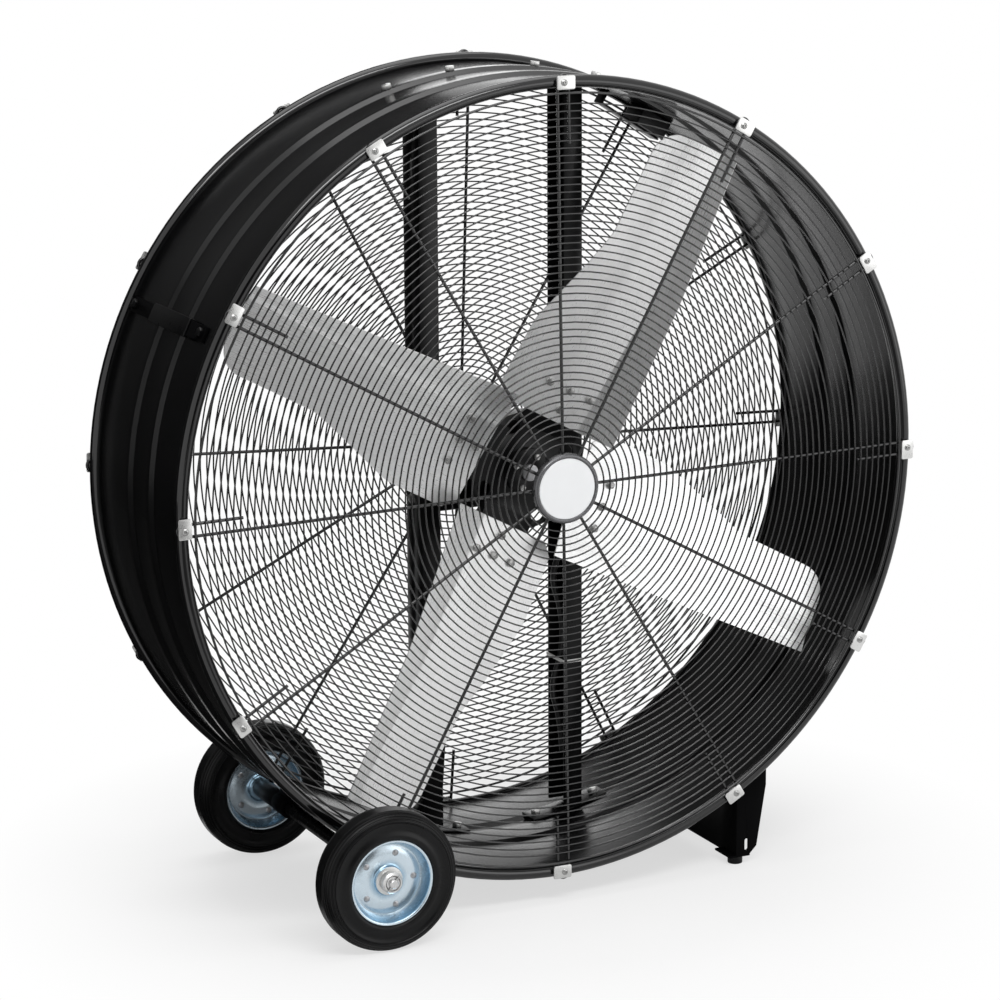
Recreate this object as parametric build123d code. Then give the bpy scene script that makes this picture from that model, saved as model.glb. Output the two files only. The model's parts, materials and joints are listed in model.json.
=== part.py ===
"""Drum fan on two wheels, built from its separate pieces.

Frame, in millimetres: x to the right, y to the back, z up, floor at z = 0.
The fan axis lies along y at height FAN_Z, and the middle of the drum is at y = 0.
Angles round the fan axis are counted from +x towards +z, in degrees.
"""

from build123d import *
from math import acos, atan2, cos, degrees, hypot, pi, radians, sin, sqrt, tan
import os

# ---- fits ----
FIT = 0.3                   # gap between curved faces that seat on each other
SLIDE_FIT = 0.05            # radial gap of a shaft in its hole
ROUND_SIDES = 36            # sides of the polygon that stands for a small round outline
OVER = 1.0                  # how far a cutting block runs past the face that it opens

# ---- drum: one rolled sheet with two swaged ribs and a rolled bead at each rim ----
DRUM_RADIUS = 558.0         # outside of the sheet
DRUM_SHEET = 1.6
RIM_Y = 165.2               # centre of each bead, in front of and behind the middle
BEAD_RADIUS = 9.0
BEAD_OFFSET = 3.0           # bead centre outside the sheet's outside
BEAD_SIDES = 6
RIB_Y = 40.0                # centre of each rib, in front of and behind the middle
RIB_WIDTH = 32.0
RIB_TOP = 14.0
RIB_HEIGHT = 5.0
DRUM_INSIDE = DRUM_RADIUS - DRUM_SHEET

# ---- wheels, which set the height of the fan axis ----
TYRE_RADIUS = 100.0
AXLE_ANGLE = -120.61        # direction from the fan axis to the axle
AXLE_STAND_OFF = 31.1       # axle's centre outside the drum
AXLE_REACH = DRUM_RADIUS + AXLE_STAND_OFF
WHEEL_X = AXLE_REACH * cos(radians(AXLE_ANGLE))
WHEEL_Z = TYRE_RADIUS
FAN_Z = WHEEL_Z - AXLE_REACH * sin(radians(AXLE_ANGLE))

# ---- wire guards ----
SPOKES = 12                 # hairpins in each guard
SPOKE_WIRE = 4.6
RING_WIRE = 2.2
RIM_RING_WIRE = 3.6
HAIRPIN_GAP = 16.8          # between the centre lines of the two legs
HAIRPIN_TIP = DRUM_RADIUS + 14.0    # where the loop turns round its screw
HAIRPIN_STEPS = 3           # straight pieces in the loop
SHORT_LEG = 95.0
SHORT_LEG_START = HAIRPIN_TIP - SHORT_LEG
LONG_LEG_START = 45.0
FIRST_RING = 62.0
FRONT_RING_PITCH = 50.0
REAR_RING_PITCH = 80.0
RIM_RING = DRUM_INSIDE - 9.9
LAST_RING = RIM_RING - 21.5         # no ring of the pattern lies outside this
SMALL_RING_SIDES = 12       # sides of the polygon that stands for a small ring
BAND_SIDES = 4              # and how many more it gets for each band outwards
RING_BAND = 200.0
REAR_DISH = 18.0            # how far the middle of the rear guard is drawn in
REAR_GUARD_TURN = -2.0

# ---- clips that hold the guards ----
CLIP_LENGTH = 35.0
CLIP_HEIGHT = 22.0
CLIP_SHEET = 2.0
CLIP_RADIUS = DRUM_RADIUS + 2.5
CLIP_SCREW_RADIUS = 4.6
CLIP_SCREW_HEAD = 2.6
CLIP_SCREW_SIDES = 6

# ---- badge in the middle of the front guard ----
BADGE_RADIUS = 49.5
BADGE_DEPTH = 11.0
BADGE_FACE_RADIUS = 43.0
BADGE_RECESS = 2.5
BADGE_FACE_SHEET = 2.0

# ---- blades: folded sheet, fold along the length ----
BLADES = 4
FIRST_BLADE_ANGLE = 61.5
BLADE_SHEET = 2.0
BLADE_ROOT = 80.0
TIP_GAP = 35.4              # between a blade's tip and the drum
BLADE_TIP = DRUM_INSIDE - TIP_GAP
BLADE_TIP_CORNER = 42.0
BLADE_LEAD_TIP = -67.0      # edge of the narrow panel at the tip and at the root
BLADE_LEAD_ROOT = -92.0
BLADE_TRAIL_TIP = 51.5      # edge of the wide panel at the tip and at the root
BLADE_TRAIL_ROOT = 96.0
BLADE_NECK = 352.0          # the wide panel's edge runs out between these two radii
BLADE_SHOULDER = 200.0
BLADE_EDGE_BEND = 90.0      # radius of the bends at those two places
BLADE_ROOT_CHAMFER = 18.0
# stations along the blade: share of the tip's radius, then place across and depth of the fold
BLADE_STATIONS = ((0.115, -39.0, -74.0), (0.576, -44.0, -106.0), (1.02, -48.0, -108.0))
LEAD_SLOPE = 0.37           # how the narrow panel falls away from the fold, towards the front
TRAIL_SLOPE = 0.15          # and how the wide panel rises from it, towards the back
BLADE_OVERRUN = 120.0       # how far the blank runs out from its fold on each side
BLADE_DEEPEST = -200.0      # in front of every point of a blade

# ---- hub ----
HUB_DISC_RADIUS = 85.0
HUB_DISC_SHEET = 4.0
HUB_DISC_Y = -57.0          # front face of the disc
HUB_HOLE_RADIUS = 11.0
HUB_HOLE_CIRCLE = 68.0
HUB_ARM_SHEET = 4.0
HUB_ARM_HALF_WIDTH = 44.0
HUB_ARM_END = 146.0
HUB_BOSS_RADIUS = 34.0
HUB_BOSS_FRONT = -71.0
HUB_BOLT_CIRCLE = 24.0
HUB_BOLT_COUNT = 4
HUB_BOLT_ACROSS = 8.0
HUB_BOLT_HEAD = 4.0
HUB_ARM_START = 72.0
HUB_PAD_START = 60.0
BLADE_BOLT_ROW = 128.0
BLADE_BOLT_INNER = 98.0
BLADE_BOLT_SPREAD = 33.0
BLADE_BOLT_ACROSS = 11.0
BLADE_BOLT_HEAD = 5.0

# ---- motor ----
MOTOR_RADIUS = 70.0
MOTOR_FRONT = -40.0
MOTOR_CAP = 9.0
SHAFT_RADIUS = 12.0
SHAFT_FRONT = -76.0

# ---- posts that carry the motor: channels that open towards each other ----
POST_X = 113.5
POST_Y = 41.0
POST_WIDTH = 30.0
POST_DEPTH = 52.0
POST_SHEET = 3.0
POST_SLOT_INNER = 191.0     # from the fan axis to the middle of the inner slots
POST_SLOT_OUTER = 111.6     # from the post's end to the middle of the outer ones
POST_SLOT_HEIGHT = 30.0
POST_SLOT_WIDTH = 9.0
POST_SLOT_CORNER = 3.0
BRACKET_SHEET = 3.0
BRACKET_SPAN = 62.0         # half of the curved foot's length
BRACKET_DEPTH = 40.0
BRACKET_DROP = 62.0
BRACKET_BOLT_SPREAD = BRACKET_SPAN - 13.0
BOLT_ACROSS = 13.0
BOLT_HEAD = 6.0
POST_BOLT_RISE = 32.0       # how far from the post's end its cross bolt sits

# ---- cross bars between the posts: trays that open to the back ----
CROSS_BAR_Z = 47.0          # above and below the fan axis
CROSS_BAR_HEIGHT = 36.0
CROSS_BAR_SHEET = 4.0
CROSS_BAR_DEPTH = 34.0
MOTOR_STUD_SPREAD = 36.0

# ---- motor cable, tied to the right post ----
CABLE_RADIUS = 4.5
CABLE_SIDES = 6
GLAND_RADIUS = 8.0
GLAND_SIDES = 8
GLAND_LENGTH = 14.0
GLAND_ANGLE = -45.0
GLAND_Y = -12.0
CABLE_FIRST_RUN = 30.0
CABLE_ARC_SHARE = 0.45      # share of the shorter run beside a bend that its arc takes up
# route from the post's middle line and the fan axis: across, depth and height
CABLE_POINTS = (
    (-18.7, -43.6, -110.0), (-23.2, -23.4, -150.0), (-23.5, -3.0, -192.0), (-5.5, 0.0, -241.0),
    (-2.5, 0.0, -301.0), (-25.5, -2.0, -357.0), (-6.5, 0.0, -410.0), (-4.5, 0.0, -457.0),
)
TIE_DROP = 313.0            # below the fan axis
TIE_Z = FAN_Z - TIE_DROP
TIE_HEIGHT = 5.0
TIE_SHEET = 1.6

# ---- switch box and its strap at the upper right ----
BOX_ANGLE = 57.5
BOX_LENGTH = 52.0
BOX_HEIGHT = 26.0
BOX_DEPTH = 50.0
BOX_Y = 125.0
STRAP_LENGTH = 112.0
STRAP_DEPTH = 24.0
STRAP_SHEET = 3.0

# ---- carrying strap on the left ----
HANDLE_ANGLE = 153.7
HANDLE_WIDTH = 22.0
HANDLE_FRONT = -120.0
HANDLE_BACK = 150.0
HANDLE_SHEET = 4.0
HANDLE_RISE = 9.0
HANDLE_FRONT_FOOT = 24.0
HANDLE_BACK_FOOT = 84.0
HANDLE_RAMP = 12.0
GRIP_WALL = 2.5
GRIP_END_GAP = 2.0

# ---- wheels ----
WHEEL_Y = 228.0
TYRE_HALF_WIDTH = 25.0
TYRE_CHAMFER = 8.0
RIM_RADIUS = 61.0
RIM_LIP = 4.0
RIM_HALF_WIDTH = 22.0
DISC_HALF_SHEET = 2.0
HUB_COLLAR_RADIUS = 25.0
HUB_COLLAR_HALF = 9.0
RIVETS = 5
RIVET_CIRCLE = 39.0
RIVET_RADIUS = 4.5
RIVET_HEAD = 2.0
RIVET_SIDES = 6

# ---- axle and its brackets ----
AXLE_RADIUS = 10.0
AXLE_END = 257.0
AXLE_NUT_ACROSS = 30.0
AXLE_NUT_LENGTH = 13.0
WASHER_RADIUS = 20.0
WASHER_SHEET = 2.5
AXLE_BRACKET_Y = 128.0
AXLE_BRACKET_SHEET = 4.0
AXLE_BRACKET_SPAN = 36.0
AXLE_BRACKET_DEPTH = 40.0
AXLE_BRACKET_WEB = 20.0
AXLE_SLEEVE_WALL = 5.0
AXLE_BOLT_SPREAD = 26.0
SPACER_WALL = 4.0

# ---- foot bracket and rubber feet on the right ----
FOOT_ANGLE = 57.85          # where the plate would meet the drum, below the fan axis
FOOT_X = DRUM_RADIUS * cos(radians(FOOT_ANGLE))
FOOT_SHEET = 3.0
FOOT_END = 152.0            # outer faces of the two flanges, in front and behind
FOOT_BOTTOM = 12.0
FOOT_TOP = 118.0
FOOT_FLANGE_TOP = 49.0
FOOT_FLANGE_BOTTOM = 34.0
FOOT_FLANGE_CHAMFER = 14.0
FOOT_SLOT_WIDTH = 6.0
FOOT_SLOT_HEIGHT = 18.0
FOOT_PAD_ANGLES = (-51.9, -61.2)
FOOT_PAD_REACH = 14.0       # how far a pad runs on past its bolts
FOOT_BLANK_TOP = 300.0      # the folded blank is cut off by the drum below this height
FOOT_BOLT_Y = 128.0
FOOT_PAD_DEPTH = 44.0
RUBBER_RADIUS = 11.0
RUBBER_X = FOOT_X + 6.0
RUBBER_Y = 138.0
RUBBER_PLATE = 34.0

# ---- values that follow from the ones above ----
MOTOR_BACK = POST_Y - POST_DEPTH / 2 + POST_SHEET + FIT
POST_HALF = sqrt((DRUM_INSIDE - BRACKET_SHEET - 2 * FIT) ** 2 - (POST_X + POST_WIDTH / 2) ** 2)
RIM_FACE = RIM_Y + BEAD_RADIUS * cos(pi / BEAD_SIDES)
SPOKE_FRONT = RIM_FACE + SPOKE_WIRE
POST_SLOTS = (POST_SLOT_OUTER - POST_HALF, -POST_SLOT_INNER, POST_SLOT_INNER, POST_HALF - POST_SLOT_OUTER)


# ---- general helpers ----
def turned(points):
    """Solid of revolution about y from (radius, y) points."""
    return revolve(make_face(Polyline(points, close=True)), Axis.Y)


def disc(radius, front, back, bore=0.0):
    """Round plate or rod along y between two depths, with an optional bore."""
    sketch = Circle(radius)
    if bore > 0:
        sketch -= Circle(bore)
    return upright(sketch, front, back)


def faceted(radius, front, back, hole=0.0):
    """Plate or drum along y whose outline, and hole if any, is a polygon of many sides."""
    sketch = RegularPolygon(radius, ROUND_SIDES)
    if hole > 0:
        sketch -= RegularPolygon(hole, ROUND_SIDES)
    return upright(sketch, front, back)


def upright(sketch, front, back):
    """Stand a flat outline up so that its y becomes z, and give it depth along y."""
    return Pos(0, back, 0) * (Plane.XZ * extrude(sketch, back - front))


def outline(points):
    return make_face(Polyline(points, close=True))


def rounded(face, corners):
    """Round the corners of a flat outline that lie nearest to (x, y, radius) triples."""
    for x, y, radius in corners:
        corner = min(face.vertices(), key=lambda v: hypot(v.X - x, v.Y - y))
        face = fillet(corner, radius)
    return face


def about_fan(part, angle=0.0):
    """Turn a piece round the fan axis and lift it to the axis's height."""
    return Pos(0, 0, FAN_Z) * Rot(0, -angle, 0) * part


def hex_prism(across, front, back):
    return upright(RegularPolygon(across / sqrt(3), 6), front, back)


def wall_bolt(angle, y, seat):
    """Hexagon head that stands out from a radius of the drum, square to its sheet."""
    return about_fan(Pos(seat + FIT, y, 0) * Rot(0, 90, 0) * bolt_head(), angle)


def bolt_head():
    return extrude(RegularPolygon(BOLT_ACROSS / sqrt(3), 6), BOLT_HEAD)


def group(parts, name):
    node = Compound(children=list(parts))
    node.label = name
    return node


# ---- drum ----
def sheet_line(radius, side):
    """Points along the sheet's outside, from the middle over a rib to one rim."""
    half, top = RIB_WIDTH / 2, RIB_TOP / 2
    return [
        (radius, side * (RIB_Y - half)),
        (radius + RIB_HEIGHT, side * (RIB_Y - top)),
        (radius + RIB_HEIGHT, side * (RIB_Y + top)),
        (radius, side * (RIB_Y + half)),
        (radius, side * RIM_Y),
    ]


def drum_profile():
    outside = sheet_line(DRUM_RADIUS, -1)[::-1] + sheet_line(DRUM_RADIUS, 1)
    inside = [(DRUM_INSIDE, RIM_Y), (DRUM_INSIDE, -RIM_Y)]
    profile = outline(outside + inside)
    for side in (-1, 1):
        bead = RegularPolygon(BEAD_RADIUS, BEAD_SIDES)
        profile += Pos(DRUM_RADIUS + BEAD_OFFSET, side * RIM_Y) * bead
    return profile


def drum_shell():
    return about_fan(revolve(drum_profile(), Axis.Y))


# ---- guards ----
def hairpin_outline(side):
    """Flat outline of one spoke: a long leg to the middle, a turn and a short leg."""
    half, bend = SPOKE_WIRE / 2, HAIRPIN_GAP / 2
    turn_x = HAIRPIN_TIP - bend
    angles = [pi * k / HAIRPIN_STEPS for k in range(HAIRPIN_STEPS + 1)]
    outer = [(turn_x + (bend + half) * sin(a), bend + (bend + half) * cos(a)) for a in angles]
    inner = [(turn_x + (bend - half) * sin(a), bend + (bend - half) * cos(a)) for a in angles]
    points = [(SHORT_LEG_START, outer[0][1])] + outer + [(LONG_LEG_START, -half)]
    points += [(LONG_LEG_START, half)] + inner[::-1] + [(SHORT_LEG_START, inner[0][1])]
    return outline([(x, side * y) for x, y in points])


def hairpin_lead():
    """Angle that puts the middle of the loop on the spoke's own radius."""
    return degrees(atan2(HAIRPIN_GAP / 2, HAIRPIN_TIP - HAIRPIN_GAP / 2))


def front_spokes():
    hairpin = upright(hairpin_outline(-1), -SPOKE_FRONT, -RIM_FACE)
    turns = [360 / SPOKES * k + hairpin_lead() for k in range(SPOKES)]
    return group([about_fan(hairpin, turn) for turn in turns], "front_guard_spokes")


def rear_slope():
    return REAR_DISH / (RIM_RING - LONG_LEG_START)


def rear_spokes():
    """The same spokes, leaning inwards from the rim to the middle."""
    lean = degrees(atan2(REAR_DISH, RIM_RING - LONG_LEG_START))
    hairpin = upright(hairpin_outline(1), RIM_FACE, SPOKE_FRONT)
    pivot = Pos(RIM_RING, RIM_FACE, 0)
    hairpin = pivot * Rot(0, 0, lean) * Pos(-RIM_RING, -RIM_FACE, 0) * hairpin
    turns = [360 / SPOKES * k - hairpin_lead() + REAR_GUARD_TURN for k in range(SPOKES)]
    return group([about_fan(hairpin, turn) for turn in turns], "rear_guard_spokes")


def ring_sides(radius):
    """Sides of the polygon that stands for a ring: more on the larger rings."""
    return SMALL_RING_SIDES + BAND_SIDES * int(radius / RING_BAND)


def wire_ring(radius, wire, front):
    sides = ring_sides(radius)
    ring = RegularPolygon(radius + wire / 2, sides) - RegularPolygon(radius - wire / 2, sides)
    return about_fan(upright(ring, front, front + wire))


def ring_radii(pitch):
    count = int((LAST_RING - FIRST_RING) / pitch) + 1
    return [FIRST_RING + pitch * k for k in range(count)]


def front_rings():
    rings = [wire_ring(r, RING_WIRE, -SPOKE_FRONT - RING_WIRE) for r in ring_radii(FRONT_RING_PITCH)]
    rings.append(wire_ring(RIM_RING, RIM_RING_WIRE, -SPOKE_FRONT - RIM_RING_WIRE))
    return group(rings, "front_guard_rings")


def rear_ring(radius, wire=RING_WIRE):
    """Ring behind the leaning spokes, on their backs at its own radius."""
    back = SPOKE_FRONT - rear_slope() * (RIM_RING - radius - wire / 2) + SLIDE_FIT
    return wire_ring(radius, wire, back)


def rear_rings():
    rings = [rear_ring(r) for r in ring_radii(REAR_RING_PITCH)[1:]]
    rings.append(rear_ring(RIM_RING, RIM_RING_WIRE))
    return group(rings, "rear_guard_rings")


# ---- clips and badge ----
def clip_plates(side, turn, name):
    sketch = Pos(CLIP_RADIUS, 0) * Rectangle(CLIP_HEIGHT, CLIP_LENGTH)
    front = -SPOKE_FRONT - CLIP_SHEET if side < 0 else SPOKE_FRONT + clip_lift()
    plate = upright(sketch, front, front + CLIP_SHEET)
    return group([about_fan(plate, 360 / SPOKES * k + turn) for k in range(SPOKES)], name)


def clip_lift():
    """The rear spokes lean, so their outer ends stand a little further back."""
    return rear_slope() * (HAIRPIN_TIP - RIM_RING) + SLIDE_FIT


def clip_screws(side, turn, name):
    head = RegularPolygon(CLIP_SCREW_RADIUS, CLIP_SCREW_SIDES)
    seat = SPOKE_FRONT + CLIP_SHEET
    front = -seat - CLIP_SCREW_HEAD if side < 0 else seat + clip_lift()
    screw = Pos(CLIP_RADIUS, 0, 0) * upright(head, front, front + CLIP_SCREW_HEAD)
    return group([about_fan(screw, 360 / SPOKES * k + turn) for k in range(SPOKES)], name)


def badge_ring():
    """Shallow cup on the front of the guard."""
    front = -SPOKE_FRONT - BADGE_DEPTH
    floor = front + BADGE_RECESS
    cup = faceted(BADGE_RADIUS, front, floor, BADGE_FACE_RADIUS + FIT)
    return about_fan(cup + faceted(BADGE_RADIUS, floor, -SPOKE_FRONT))


def badge_face():
    floor = -SPOKE_FRONT - BADGE_DEPTH + BADGE_RECESS
    return about_fan(faceted(BADGE_FACE_RADIUS, floor - BADGE_FACE_SHEET, floor))


# ---- blades and hub ----
def sheet_section(station, front, back):
    """Folded section at one radius, between two depths behind the blade's front skin."""
    share, across, depth = station
    skin = [
        (across - BLADE_OVERRUN, depth - LEAD_SLOPE * BLADE_OVERRUN),
        (across, depth),
        (across + BLADE_OVERRUN + BLADE_TRAIL_ROOT, depth + TRAIL_SLOPE * (BLADE_OVERRUN + BLADE_TRAIL_ROOT)),
    ]
    points = [(share * BLADE_TIP, y + front, v) for v, y in skin]
    points += [(share * BLADE_TIP, y + back, v) for v, y in skin[::-1]]
    return make_face(Polyline(points, close=True))


def folded_blank(front, back):
    return loft([sheet_section(s, front, back) for s in BLADE_STATIONS], ruled=True)


def blade_outline():
    points = [
        (BLADE_ROOT, BLADE_LEAD_ROOT),
        (BLADE_TIP, BLADE_LEAD_TIP),
        (BLADE_TIP, BLADE_TRAIL_TIP),
        (BLADE_NECK, BLADE_TRAIL_TIP),
        (BLADE_SHOULDER, BLADE_TRAIL_ROOT),
        (BLADE_ROOT + BLADE_ROOT_CHAMFER, BLADE_TRAIL_ROOT),
        (BLADE_ROOT, BLADE_TRAIL_ROOT - BLADE_ROOT_CHAMFER),
    ]
    corners = [
        (BLADE_TIP, BLADE_TRAIL_TIP, BLADE_TIP_CORNER),
        (BLADE_NECK, BLADE_TRAIL_TIP, BLADE_EDGE_BEND),
        (BLADE_SHOULDER, BLADE_TRAIL_ROOT, BLADE_EDGE_BEND),
    ]
    return rounded(outline(points), corners)


def blade_at_zero():
    trim = upright(blade_outline(), BLADE_DEEPEST, 0)
    return folded_blank(0, BLADE_SHEET) & trim


def blade_front_y(radius, across):
    """Depth of the blade's front skin at a point of the wide panel near the root."""
    (share0, across0, depth0), (share1, across1, depth1) = BLADE_STATIONS[:2]
    part = (radius / BLADE_TIP - share0) / (share1 - share0)
    fold = across0 + (across1 - across0) * part
    depth = depth0 + (depth1 - depth0) * part
    return depth + TRAIL_SLOPE * (across - fold)


def blade_bolt_places():
    row = [(BLADE_BOLT_ROW, k * BLADE_BOLT_SPREAD) for k in (-1, 0, 1)]
    return row + [(BLADE_BOLT_INNER, 0.0)]


def blade_bolt(radius, across):
    """Hexagon head square to the blade's front skin."""
    here = blade_front_y(radius, across)
    out = Vector(blade_front_y(radius + 1, across) - here, -1, blade_front_y(radius, across + 1) - here)
    seat = Plane(origin=Vector(radius, here, across) + out.normalized() * SLIDE_FIT, z_dir=out)
    return seat * extrude(RegularPolygon(BLADE_BOLT_ACROSS / sqrt(3), 6), BLADE_BOLT_HEAD)


def blade_bolts():
    bolts = []
    for k in range(BLADES):
        for radius, across in blade_bolt_places():
            bolts.append(about_fan(blade_bolt(radius, across), FIRST_BLADE_ANGLE + 360 / BLADES * k))
    return group(bolts, "blade_bolts")


def hub_spider():
    """Pressed disc with four arms that lie on the backs of the blades."""
    back = HUB_DISC_Y + HUB_DISC_SHEET
    plate = Circle(HUB_DISC_RADIUS)
    for k in range(BLADES):
        angle = FIRST_BLADE_ANGLE + 360 / BLADES * (k + 0.5)
        plate -= Rot(0, 0, angle) * Pos(HUB_HOLE_CIRCLE, 0) * Circle(HUB_HOLE_RADIUS)
    spider = upright(plate, HUB_DISC_Y, back)
    spider += disc(HUB_BOSS_RADIUS, HUB_BOSS_FRONT, back)
    wide = 2 * HUB_ARM_HALF_WIDTH
    arm_plan = Pos((HUB_ARM_END + HUB_ARM_START) / 2, 0) * Rectangle(HUB_ARM_END - HUB_ARM_START, wide)
    pad_plan = Pos((HUB_DISC_RADIUS + HUB_PAD_START) / 2, 0) * Rectangle(
        HUB_DISC_RADIUS - HUB_PAD_START, wide)
    skin = BLADE_SHEET + SLIDE_FIT
    arm = folded_blank(skin, skin + HUB_ARM_SHEET) & upright(arm_plan, BLADE_DEEPEST, 0)
    pad = folded_blank(skin, -BLADE_DEEPEST) & upright(pad_plan, BLADE_DEEPEST, HUB_DISC_Y)
    for k in range(BLADES):
        turn = Rot(0, -(FIRST_BLADE_ANGLE + 360 / BLADES * k), 0)
        spider += turn * arm
        spider += turn * pad
    spider -= disc(SHAFT_RADIUS + SLIDE_FIT, HUB_BOSS_FRONT - OVER, back + OVER)
    return about_fan(spider)


def hub_bolts():
    bolts = []
    for k in range(HUB_BOLT_COUNT):
        head = hex_prism(HUB_BOLT_ACROSS, HUB_BOSS_FRONT - HUB_BOLT_HEAD, HUB_BOSS_FRONT)
        angle = FIRST_BLADE_ANGLE + 360 / HUB_BOLT_COUNT * k
        bolts.append(about_fan(Pos(HUB_BOLT_CIRCLE, 0, 0) * head, angle))
    return group(bolts, "hub_bolts")


# ---- motor ----
def motor_shaft():
    return about_fan(disc(SHAFT_RADIUS, SHAFT_FRONT, MOTOR_FRONT + MOTOR_CAP))


def motor_body():
    return about_fan(faceted(MOTOR_RADIUS, MOTOR_FRONT + MOTOR_CAP, MOTOR_BACK))


def motor_front_cap():
    cap = faceted(MOTOR_RADIUS, MOTOR_FRONT, MOTOR_FRONT + MOTOR_CAP)
    bore = disc(SHAFT_RADIUS + SLIDE_FIT, MOTOR_FRONT - OVER, MOTOR_FRONT + MOTOR_CAP + OVER)
    return about_fan(cap - bore)


# ---- posts ----
def box(x_span, y_span, z_span):
    """Block between two x, two y and two z values."""
    (x0, x1), (y0, y1), (z0, z1) = x_span, y_span, z_span
    block = Box(x1 - x0, y1 - y0, z1 - z0)
    return Pos((x0 + x1) / 2, (y0 + y1) / 2, (z0 + z1) / 2) * block


def mirrored(part):
    return mirror(part, about=Plane.YZ)


def post_right():
    front, back = POST_Y - POST_DEPTH / 2, POST_Y + POST_DEPTH / 2
    inner, outer = POST_X - POST_WIDTH / 2, POST_X + POST_WIDTH / 2
    height = (FAN_Z - POST_HALF, FAN_Z + POST_HALF)
    post = box((inner, outer), (front, back), height)
    post -= box((inner - OVER, outer - POST_SHEET), (front + POST_SHEET, back - POST_SHEET),
                (height[0] - OVER, height[1] + OVER))
    plan = Rectangle(POST_SLOT_HEIGHT, POST_SLOT_WIDTH)
    plan = chamfer(plan.vertices(), POST_SLOT_CORNER)
    slot = Rot(0, 90, 0) * extrude(plan, POST_SHEET + 2 * OVER)
    for z in POST_SLOTS:
        post -= Pos(outer - POST_SHEET - OVER, POST_Y, FAN_Z + z) * slot
    return post


def wall_plate(radius, sheet, angle, half_length, y_span):
    """Curved plate that follows the drum, long way round it."""
    ring = disc(radius + sheet, y_span[0], y_span[1], radius)
    reach = radius + sheet + OVER
    block = box((radius / 2, reach), (y_span[0] - OVER, y_span[1] + OVER), (-half_length, half_length))
    return about_fan(ring & block, angle)


def post_bracket(rise):
    """Curved foot under the drum's sheet with a tab inside the post; rise is 1 or -1."""
    angle = rise * degrees(acos(POST_X / DRUM_INSIDE))
    depth = (POST_Y - BRACKET_DEPTH / 2, POST_Y + BRACKET_DEPTH / 2)
    radius = DRUM_INSIDE - FIT - BRACKET_SHEET
    foot = wall_plate(radius, BRACKET_SHEET, angle, BRACKET_SPAN, depth)
    web = POST_X + POST_WIDTH / 2 - POST_SHEET
    top = sqrt((radius + BRACKET_SHEET / 2) ** 2 - web ** 2)
    ends = sorted((FAN_Z + rise * (POST_HALF - BRACKET_DROP), FAN_Z + rise * top))
    return foot + box((web - BRACKET_SHEET, web), depth, ends)


def post_brackets(rise, name):
    bracket = post_bracket(rise)
    return group([bracket, mirrored(bracket)], name)


def post_bolts():
    """Bolts through the sheet into the curved feet, and one across each post's end."""
    bolts = []
    turn = degrees(BRACKET_BOLT_SPREAD / DRUM_RADIUS)
    web = POST_X + POST_WIDTH / 2
    for rise in (-1, 1):
        middle = rise * degrees(acos(POST_X / DRUM_INSIDE))
        for angle in (middle - turn, middle + turn):
            bolts.append(wall_bolt(angle, POST_Y, DRUM_RADIUS + RIB_HEIGHT))
            bolts.append(wall_nut(angle, POST_Y))
        z = FAN_Z + rise * (POST_HALF - POST_BOLT_RISE)
        bolts.append(cross_bolt(web, POST_Y, z))
        bolts.append(cross_nut(web - POST_SHEET - BRACKET_SHEET, POST_Y, z))
    return group(bolts + [mirrored(bolt) for bolt in bolts], "post_bolts")


def wall_nut(angle, y):
    """Nut inside the drum, under a curved foot."""
    seat = DRUM_INSIDE - FIT - BRACKET_SHEET - FIT
    return about_fan(Pos(seat, y, 0) * Rot(0, -90, 0) * bolt_head(), angle)


def cross_bolt(x, y, z):
    return Pos(x, y, z) * Rot(0, 90, 0) * bolt_head()


def cross_nut(x, y, z):
    return Pos(x, y, z) * Rot(0, -90, 0) * bolt_head()


def cross_bars():
    """Two trays between the posts; their ends lie on the insides of the posts' webs."""
    reach = POST_X + POST_WIDTH / 2 - POST_SHEET
    bars = []
    for z in (FAN_Z - CROSS_BAR_Z, FAN_Z + CROSS_BAR_Z):
        span = (z - CROSS_BAR_HEIGHT / 2, z + CROSS_BAR_HEIGHT / 2)
        bar = box((-reach, reach), (MOTOR_BACK, MOTOR_BACK + CROSS_BAR_DEPTH), span)
        inside = reach - CROSS_BAR_SHEET
        hollow = (span[0] + CROSS_BAR_SHEET, span[1] - CROSS_BAR_SHEET)
        depth = (MOTOR_BACK + CROSS_BAR_SHEET, MOTOR_BACK + CROSS_BAR_DEPTH + OVER)
        bars.append(bar - box((-inside, inside), depth, hollow))
    return group(bars, "motor_cross_bars")


def motor_bolts():
    """Nuts that hold the motor on the bars, and bolt heads outside the posts."""
    bolts = []
    seat = MOTOR_BACK + CROSS_BAR_SHEET
    for z in (FAN_Z - CROSS_BAR_Z, FAN_Z + CROSS_BAR_Z):
        bolts.append(Pos(MOTOR_STUD_SPREAD, 0, z) * hex_prism(BOLT_ACROSS, seat, seat + BOLT_HEAD))
        bolts.append(cross_bolt(POST_X + POST_WIDTH / 2, POST_Y, z))
    return group(bolts + [mirrored(bolt) for bolt in bolts], "motor_bolts")


# ---- cable ----
def gland_end():
    reach = MOTOR_RADIUS + GLAND_LENGTH
    angle = radians(GLAND_ANGLE)
    return Vector(reach * cos(angle), GLAND_Y, FAN_Z + reach * sin(angle))


def cable_gland():
    """Moulded bush on the motor's side, where the cable comes out."""
    bush = extrude(RegularPolygon(GLAND_RADIUS, GLAND_SIDES), GLAND_LENGTH - FIT)
    return about_fan(Pos(MOTOR_RADIUS + FIT, GLAND_Y, 0) * Rot(0, 90, 0) * bush, GLAND_ANGLE)


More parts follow.
